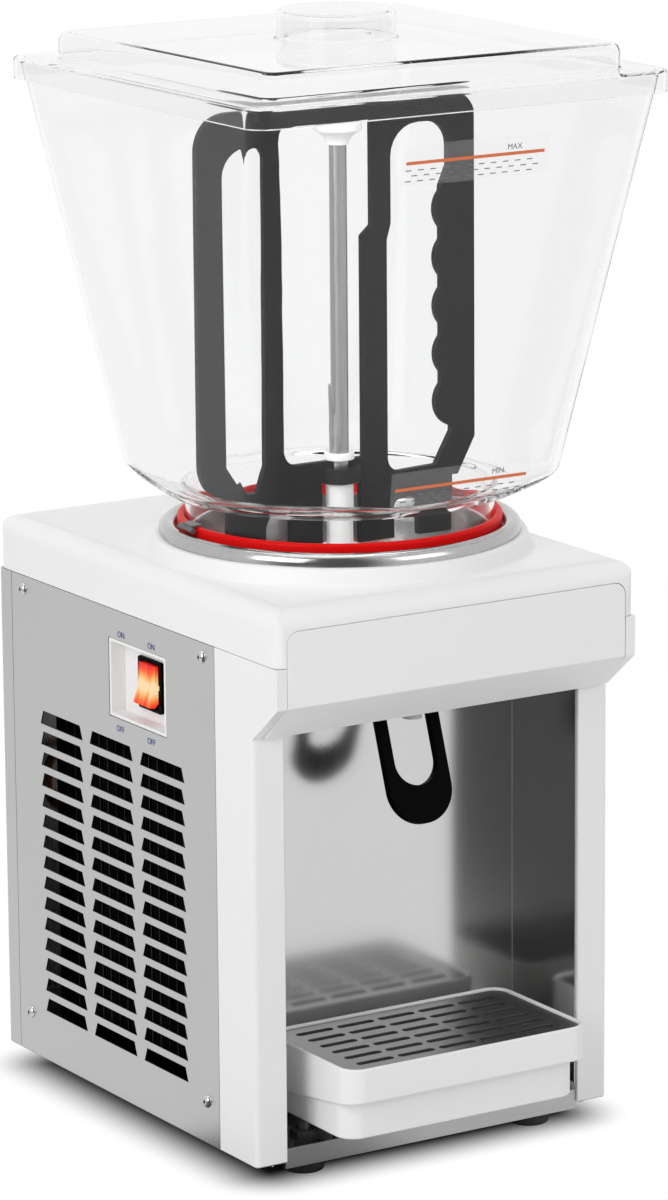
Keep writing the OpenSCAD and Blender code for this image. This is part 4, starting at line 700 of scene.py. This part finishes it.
# %% Bowl
BOWL_WALL, NECK_WALL, NECK_RADIUS = 3.5, 3.0, 96.6
RIM_CORNER, RIM_LIP, RIM_EASE, RIM_DROP, RIM_MIDDLE = 18, 1.2, 0.9, 0.3, 1.8
FOOT_HALF, FOOT_CORNER, FOOT_DRAW, FOOT_STEPS, FOOT_ROUNDING = 112.5, 50.0, 5, 8, 1.5
FLOOR_RISE, FOOT_RISE, SIDE_RINGS = 25, 41, (0.33, 0.66)
NECK_BEND, NECK_BEND_MIDDLE, NECK_EASE = 2.5, 0.7, 0.6
low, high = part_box("bowl")
bowl_axis = ((low.x + high.x) / 2, (low.y + high.y) / 2)
rim_z, neck_z, rim_half = high.z / MM, low.z / MM, (high.x - low.x) / 2 / MM
floor_z, foot_z = neck_z + FLOOR_RISE, neck_z + FOOT_RISE


def bowl_side(inset, floor):
    """Rings from the rim down the wall, round its foot and along the floor to the neck."""
    lean = (rim_half - FOOT_HALF) / (rim_z - foot_z)
    rings = [(rim_half - inset, RIM_CORNER - inset, rim_z - RIM_LIP)]
    for t in SIDE_RINGS:
        z = rim_z + (foot_z - rim_z) * t
        corner = RIM_CORNER - inset + (FOOT_CORNER - RIM_CORNER) * t
        rings.append((rim_half - inset - lean * (rim_z - z), corner, z))
    for i in range(FOOT_STEPS + 1):
        a = radians(90 * i / FOOT_STEPS)
        half = FOOT_HALF - inset - FOOT_DRAW * (1 - cos(a))
        corner = FOOT_CORNER - inset + (half - FOOT_CORNER + inset) * sin(a) ** FOOT_ROUNDING
        rings.append((half, corner, foot_z - (foot_z - floor) * sin(a)))
    return rings


def neck_side(radius, floor, ease):
    """Rings from the floor down the neck to its lower edge."""
    return [round_ring(radius + NECK_BEND, floor),
            round_ring(radius + NECK_BEND_MIDDLE, floor - NECK_BEND_MIDDLE),
            round_ring(radius, floor - NECK_BEND), round_ring(radius, neck_z + NECK_EASE),
            round_ring(radius + ease, neck_z)]


outside = bowl_side(0, floor_z)
inside = bowl_side(BOWL_WALL, floor_z + BOWL_WALL)
neck_outside = neck_side(NECK_RADIUS, floor_z, -NECK_EASE)
neck_inside = neck_side(NECK_RADIUS - NECK_WALL, floor_z + BOWL_WALL, NECK_EASE)
rim = [(rim_half - BOWL_WALL + RIM_EASE, RIM_CORNER - BOWL_WALL + RIM_EASE, rim_z - RIM_DROP),
       (rim_half - BOWL_WALL / 2, RIM_CORNER - RIM_MIDDLE, rim_z),
       (rim_half - RIM_EASE, RIM_CORNER - RIM_EASE, rim_z - RIM_DROP)]
bowl = loft("bowl_form", outside + neck_outside + neck_inside[::-1] + inside[::-1] + rim, bowl_axis, True)
settle(bowl, "bowl", "clear_plastic", "clear_plastic", "bowl")
print("bowl", len(bowl.data.polygons), "faces")

# %% [markdown]
# The lid is one sheet of even thickness: a skirt around the rim, a flange, a raised step and a round knob
# in the middle. Its rings start under the knob, run out to the skirt inside, and come back outside. Two
# flat faces close the knob.

# %% Lid
SHEET, RIM_GAP, STEP_RISE = 2.5, 0.3, 15.5
SKIRT_CORNER, STEP_HALF, STEP_CORNER, KNOB_RADIUS = 15, 128.0, 12, 36.7
SKIRT_BEND, STEP_BEND, KNOB_BEND, STEP_BEND_IN, KNOB_BEND_IN = 3, 6, 3, 4, 2
SKIRT_CUTS, STEP_CUTS, EASE, EDGE = 6, 8, 0.5, 0.6
STEP_FILLET, KNOB_FILLET = ((1.5, 0), (0.4, 0.5), (0, 1.6)), ((2, 0), (0.5, 0.6), (0, 2))
low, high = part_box("lid")
skirt_z, top_z, skirt_half = low.z / MM, high.z / MM, (high.x - low.x) / 2 / MM
flange_z, step_z = rim_z + RIM_GAP + SHEET, rim_z + RIM_GAP + SHEET + STEP_RISE
knob_in, step_in, skirt_in = KNOB_RADIUS - SHEET, STEP_HALF - SHEET, skirt_half - SHEET
step_corner_in, skirt_corner_in = STEP_CORNER - SHEET, SKIRT_CORNER - SHEET
lid_outside = [
    (skirt_half - EASE, SKIRT_CORNER - EASE, skirt_z), (skirt_half, SKIRT_CORNER, skirt_z + EDGE),
    *bend(skirt_half - SKIRT_BEND, SKIRT_CORNER - SKIRT_BEND, flange_z - SKIRT_BEND,
          90, SKIRT_BEND, 0, SKIRT_CUTS),
    *((STEP_HALF + out, STEP_CORNER + out, flange_z + up) for out, up in STEP_FILLET),
    *bend(STEP_HALF - STEP_BEND, STEP_CORNER - STEP_BEND, step_z - STEP_BEND, 90, STEP_BEND, 0, STEP_CUTS),
    *(round_ring(KNOB_RADIUS + out, step_z + up) for out, up in KNOB_FILLET),
    *bend(*round_ring(KNOB_RADIUS - KNOB_BEND, top_z - KNOB_BEND), 90, KNOB_BEND, 0),
]
lid_inside = [
    *bend(*round_ring(knob_in - KNOB_BEND_IN, top_z - SHEET - KNOB_BEND_IN), -90, KNOB_BEND_IN, 90),
    round_ring(knob_in, step_z - SHEET + EASE), round_ring(knob_in + EASE, step_z - SHEET),
    *bend(step_in - STEP_BEND_IN, step_corner_in - STEP_BEND_IN, step_z - SHEET - STEP_BEND_IN,
          -90, STEP_BEND_IN, 90, STEP_CUTS),
    (step_in, step_corner_in, flange_z - SHEET + EASE),
    (step_in + EASE, step_corner_in + EASE, flange_z - SHEET),
    (skirt_in - EDGE, skirt_corner_in - EASE, flange_z - SHEET),
    (skirt_in, skirt_corner_in, flange_z - SHEET - EDGE), (skirt_in, skirt_corner_in, skirt_z + EASE),
]
lid = loft("lid_form", lid_inside + lid_outside, bowl_axis, False)
settle(lid, "lid", "clear_plastic", "clear_plastic", "lid")
print("lid", len(lid.data.polygons), "faces")

# %% [markdown]
# What repeats is made by one Geometry Nodes tree. It takes a small unit, sets it out in columns and rows
# from a start point, shifts every second row by a stagger, and makes the copies real. Array modifiers could
# do plain rows, but not the stagger. Screws, condenser fins and the dashes of the level marks come from it.
# A copy's row is its number divided by the columns, with a nudge so that a whole result isn't rounded down.

# %% Rows of copies
ROW_SOCKETS = {"Geometry": "Geometry", "Columns": "Int", "Rows": "Int", "Start": "Vector", "Pitch": "Vector",
               "Row pitch": "Vector", "Stagger": "Float", "Finish": "Material"}
INDEX_NUDGE = 0.01


def row_tree():
    tree = bpy.data.node_groups.new("rows_of_copies", "GeometryNodeTree")
    tree.interface.new_socket("Geometry", in_out="OUTPUT", socket_type="NodeSocketGeometry")
    for name, kind in ROW_SOCKETS.items():
        tree.interface.new_socket(name, in_out="INPUT", socket_type="NodeSocket" + kind)
    p = Paint(tree)
    unit, columns, rows, start, pitch, row_pitch, stagger, look = (
        p.node("NodeGroupInput", out=name) for name in ROW_SOCKETS)
    index = p.node("GeometryNodeInputIndex")
    row = index.math("FLOOR", index.math("DIVIDE", index + INDEX_NUDGE, columns))
    step = index - row * columns + stagger * row.math("MODULO", row, 2.0)
    along = p.node("VectorMath", {"operation": "SCALE"}, {0: pitch, "Scale": step})
    down = p.node("VectorMath", {"operation": "SCALE"}, {0: row_pitch, "Scale": row})
    place = p.node("VectorMath", inputs={0: start, 1: p.node("VectorMath", inputs={0: along, 1: down})})
    points = p.node("GeometryNodePoints", inputs={"Count": columns * rows, "Position": place})
    placed = p.node("GeometryNodeInstanceOnPoints", inputs={"Points": points, "Instance": unit})
    real = p.node("GeometryNodeRealizeInstances", inputs={0: placed})
    painted = p.node("GeometryNodeSetMaterial", inputs={"Geometry": real, "Material": look})
    p.node("NodeGroupOutput", inputs={0: painted})
    return tree


ROWS = row_tree()
ROW_INPUTS = {item.name: item.identifier for item in ROWS.interface.items_tree if item.in_out == "INPUT"}


def copies(name, unit, look, **given):
    obj = raw_object(name, unit)
    rows = obj.modifiers.new("rows", "NODES")
    rows.node_group = ROWS
    for key, value in given.items():
        rows[ROW_INPUTS[key.replace("_", " ").capitalize()]] = value
    rows[ROW_INPUTS["Finish"]] = FINISHES[look]
    return obj


print("row inputs", ", ".join(ROW_INPUTS))

# %% [markdown]
# A screw head is a low dome with a cross recess. The recess could be cut by a Boolean, but on so small a
# piece that often leaves slivers. So the dome's rings and the cross are drawn, and the ring between them is
# filled with triangles.

# %% One screw head
DOME_ANGLES, DOME_SIDES = (0, 18, 36, 54, 68), 32
CROSS_ARM, CROSS_HALF, CROSS_DEPTH, CROSS_TAPER = 0.62, 0.14, 0.5, 0.75


def screw_unit(radius, height, aim):
    bm = bmesh.new()
    arm, half, floor = CROSS_ARM * radius, CROSS_HALF * radius, height - CROSS_DEPTH * height
    outline = [(half, half), (half, arm), (-half, arm), (-half, half), (-arm, half), (-arm, -half),
               (-half, -half), (-half, -arm), (half, -arm), (half, -half), (arm, -half), (arm, half)]
    cross = [bm.verts.new((x, y, height)) for x, y in outline]
    sunk = [bm.verts.new((CROSS_TAPER * x, CROSS_TAPER * y, floor)) for x, y in outline]
    around = [k * 2 * pi / DOME_SIDES for k in range(DOME_SIDES)]
    rings = []
    for angle in DOME_ANGLES:
        reach = radius * cos(radians(angle))
        rise = height * sin(radians(angle)) / sin(radians(DOME_ANGLES[-1]))
        rings.append([bm.verts.new((reach * cos(a), reach * sin(a), rise)) for a in around])
    for a, b in [*zip(rings, rings[1:]), (cross, sunk)]:
        for i in range(len(a)):
            j = (i + 1) % len(a)
            bm.faces.new((a[i], a[j], b[j], b[i]))
    bm.faces.new(sunk)
    bm.faces.new(rings[0])
    ends = [bm.edges.get((ring[i - 1], ring[i])) or bm.edges.new((ring[i - 1], ring[i]))
            for ring in (rings[-1], cross) for i in range(len(ring))]
    bmesh.ops.triangle_fill(bm, use_beauty=True, edges=ends)
    bmesh.ops.recalc_face_normals(bm, faces=bm.faces)
    bm.transform(aim.to_track_quat("Z", "Y").to_matrix().to_4x4())
    return bm


trial = screw_unit(1, 1, Vector((0, 0, 1)))
print("faces in a screw head", len(trial.faces))
trial.free()

# %% [markdown]
# The screws hold the side panels and the columns. Their size and places are read from the solids, which are
# split into loose pieces for that, so the dressed heads sit exactly where the solid heads are.

# %% Screws
HEAD_HEIGHT = 2.2 * MM


def loose_boxes(node):
    """The two far corners of each loose piece of a solid, sorted, because a set has no fixed order."""
    bm = merged_copy(node)
    boxes, left = [], set(bm.verts)
    while left:
        island, edge = set(), [left.pop()]
        while edge:
            vert = edge.pop()
            island.add(vert)
            fresh = {e.other_vert(vert) for e in vert.link_edges} & left
            left -= fresh
            edge += fresh
        points = [v.co for v in island]
        boxes.append([Vector([pick(c[k] for c in points) for k in range(3)]) for pick in (min, max)])
    bm.free()
    return sorted(boxes, key=lambda box: tuple(box[0]))


def set_screws(name, boxes, aim, node):
    """Screws on a rectangle of places, their heads facing along aim."""
    facing = max(range(3), key=lambda k: abs(aim[k]))
    u, v = (k for k in range(3) if k != facing)
    middles = [[low[k] / 2 + high[k] / 2 for k in range(3)] for low, high in boxes]
    first, last = ([pick(middle[k] for middle in middles) for k in range(3)] for pick in (min, max))
    low, high = boxes[0]
    start, pitch, row_pitch = Vector(first), Vector(), Vector()
    start[facing] = (high if aim[facing] > 0 else low)[facing] - aim[facing] * HEAD_HEIGHT
    pitch[u], row_pitch[v] = last[u] - first[u], last[v] - first[v]
    head = screw_unit((high[u] - low[u]) / 2, HEAD_HEIGHT, aim)
    obj = copies(name, head, "bright_steel", columns=2, rows=len(boxes) // 2,
                 start=start, pitch=pitch, row_pitch=row_pitch)
    settle(obj, "cabinet", "bright_steel", "bright_steel", node)
    print(name, len(boxes), "heads", len(obj.data.polygons), "faces")


panel_boxes = loose_boxes("panel_screws")
for side, aim in (("left", Vector((-1, 0, 0))), ("right", Vector((1, 0, 0)))):
    set_screws("screws_" + side, [box for box in panel_boxes if box[0].x * aim.x > 0], aim, "panel_screws")
set_screws("screws_under", loose_boxes("column_screws"), Vector((0, 0, -1)), "column_screws")

# %% [markdown]
# The condenser behind the left louvres has fine fins between the coarse ones of the solid. They are thin
# plates in one row, so the tree above sets them out from a single box.

# %% Condenser fins
FIN_PITCH, FIN_INSET, FIN_THICK = 2.4 * MM, 9 * MM, 0.25 * MM
FIN_LESS_WIDE, FIN_LESS_HIGH = 3 * MM, 12 * MM


def box_unit(size):
    bm = bmesh.new()
    bmesh.ops.create_cube(bm, size=1)
    bm.transform(Matrix.Diagonal((*size, 1)))
    return bm


low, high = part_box("condenser")
count = int((high.y - low.y - 2 * FIN_INSET) / FIN_PITCH)
fin = box_unit((high.x - low.x - FIN_LESS_WIDE, FIN_THICK, high.z - low.z - FIN_LESS_HIGH))
start = Vector(((low.x + high.x) / 2, low.y + FIN_INSET, (low.z + high.z) / 2))
fins = copies("condenser_fins", fin, "black_enamel", columns=count, rows=1, start=start,
              pitch=Vector((0, FIN_PITCH, 0)))
settle(fins, "cabinet", "black_enamel", "black_enamel")
print("fins", count)

# %% [markdown]
# The bowl carries printed marks. They are drawn flat, and then each point moves onto the lofted wall. A
# Shrinkwrap modifier could lay them on too, but the wall's rings give its place exactly.

# %% Print on the bowl
PRINT_THICK, STRIP_CUTS, LEAST_DROP = 0.12 * MM, (32, 8), 1e-6


def wall_y(x, z):
    """The y of the bowl's front wall at a place, from the rings of its outside."""
    z = min(max(z / MM, outside[-1][2]), outside[0][2])
    upper, lower = next((a, b) for a, b in zip(outside, outside[1:]) if a[2] >= z >= b[2])
    t = (upper[2] - z) / max(upper[2] - lower[2], LEAST_DROP)
    half, radius = (upper[k] + (lower[k] - upper[k]) * t for k in (0, 1))
    beyond = max(abs(x - bowl_axis[0]) / MM - (half - radius), 0)
    return bowl_axis[1] - (half - radius + max(radius ** 2 - beyond ** 2, 0) ** 0.5) * MM


def lay_on_bowl(obj, look, lift):
    settle(obj, "bowl", look, None)
    for vert in obj.data.vertices:
        vert.co.y += wall_y(vert.co.x, vert.co.z) - lift


def strip(name, x, z, thick, lift, look):
    """A thin rectangle between two x and two z, with enough faces to follow the wall."""
    bm = bmesh.new()
    bmesh.ops.create_grid(bm, x_segments=STRIP_CUTS[0], y_segments=STRIP_CUTS[1], size=0.5)
    bm.transform(Matrix.Translation(((x[0] + x[1]) / 2, 0, (z[0] + z[1]) / 2))
                 @ Matrix.Rotation(pi / 2, 4, "X") @ Matrix.Diagonal((x[1] - x[0], z[1] - z[0], 1, 1)))
    skin = bmesh.ops.extrude_face_region(bm, geom=bm.faces[:])["geom"]
    front = [part for part in skin if isinstance(part, bmesh.types.BMVert)]
    bmesh.ops.translate(bm, verts=front, vec=(0, -thick, 0))
    bmesh.ops.recalc_face_normals(bm, faces=bm.faces)
    lay_on_bowl(raw_object(name, bm), look, lift)


def lettering(name, words, size, matrix):
    """Words as a mesh, because a curve's place can't be applied before it is one."""
    curve = bpy.data.curves.new(name, "FONT")
    curve.body, curve.size, curve.align_x, curve.extrude = words, size, "CENTER", PRINT_THICK / 2
    text = bpy.data.objects.new(name, curve)
    scene.collection.objects.link(text)
    mesh = evaluated_mesh(text)
    bpy.data.objects.remove(text)
    mesh.transform(matrix)
    obj = bpy.data.objects.new(name, mesh)
    scene.collection.objects.link(obj)
    return obj


print("wall at mid height, y", round(wall_y(bowl_axis[0], (rim_z + foot_z) / 2 * MM), 4))

# %% [markdown]
# There are two level marks. Each is an orange line on a clear film, with a word above it and three staggered
# rows of dashes under it, which say that liquid stands there.

# %% Level marks
FILM_THICK, FILM_SIDE, FILM_BELOW, FILM_ABOVE = 0.05 * MM, 3 * MM, 14 * MM, 11 * MM
FILM_LIFT, INK_LIFT, WORD_LIFT = 0.02 * MM, 0.1 * MM, 0.14 * MM
LINE_HALF, WORD_SIZE, WORD_RISE, WORD_ALONG = 1.0 * MM, 5 * MM, 2.6 * MM, 0.78
DASH_COLUMNS, DASH_ROWS, DASH_STAGGER = 11, 3, 0.5
DASH_LONG, DASH_HIGH, DASH_DROP, DASH_ROW_DROP = 4 * MM, 0.6 * MM, 4.4 * MM, 3.3 * MM


def level_mark(name, words, left, right, z):
    strip(name + "_film", (left - FILM_SIDE, right + FILM_SIDE), (z - FILM_BELOW, z + FILM_ABOVE),
          FILM_THICK, FILM_LIFT, "label_film")
    strip(name + "_line", (left, right), (z - LINE_HALF, z + LINE_HALF), PRINT_THICK, INK_LIFT, "orange_ink")
    pitch = (right - left - 2 * DASH_LONG) / (DASH_COLUMNS - DASH_STAGGER)
    dashes = copies(name + "_dashes", box_unit((DASH_LONG, PRINT_THICK, DASH_HIGH)), "grey_ink",
                    columns=DASH_COLUMNS, rows=DASH_ROWS, stagger=DASH_STAGGER,
                    start=Vector((left + DASH_LONG / 2, 0, z - DASH_DROP)), pitch=Vector((pitch, 0, 0)),
                    row_pitch=Vector((0, 0, -DASH_ROW_DROP)))
    lay_on_bowl(dashes, "grey_ink", INK_LIFT)
    middle = Matrix.Translation((left + WORD_ALONG * (right - left), 0, z + WORD_RISE))
    word = lettering(name + "_word", words, WORD_SIZE, middle @ Matrix.Rotation(pi / 2, 4, "X"))
    lay_on_bowl(word, "grey_ink", WORD_LIFT)
    print(name, DASH_COLUMNS * DASH_ROWS, "dashes,", round((right - left) / MM, 1), "mm long")


level_mark("max_level", "MAX", left=-0.0405, right=0.058, z=0.6295)
level_mark("min_level", "MIN", left=-0.0315, right=0.0637, z=0.4265)

# %% [markdown]
# The switch has small blue marks over and under its recess, as switches commonly have. They are words like
# those on the bowl, turned to face left and laid on the side panel.

# %% Switch marks
MARK_SIZE, MARK_LIFT = 5.5 * MM, 0.06 * MM
ON_Z, OFF_Z = 0.3165, 0.2555
MARKS = (("ON", 0.0179, ON_Z), ("ON", -0.0192, ON_Z), ("OFF", 0.0205, OFF_Z), ("OFF", -0.0178, OFF_Z))
low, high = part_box("side_panel_left")
to_panel = Matrix(((0, 0, -1, low.x - MARK_LIFT), (-1, 0, 0, 0), (0, 1, 0, 0), (0, 0, 0, 1)))
for i, (words, y, z) in enumerate(MARKS):
    mark = lettering(f"switch_mark_{i}", words, MARK_SIZE, Matrix.Translation((0, y, z)) @ to_panel)
    settle(mark, "cabinet", "blue_ink", None)
print("switch marks", len(MARKS))

# %% [markdown]

# %% End
print("end")
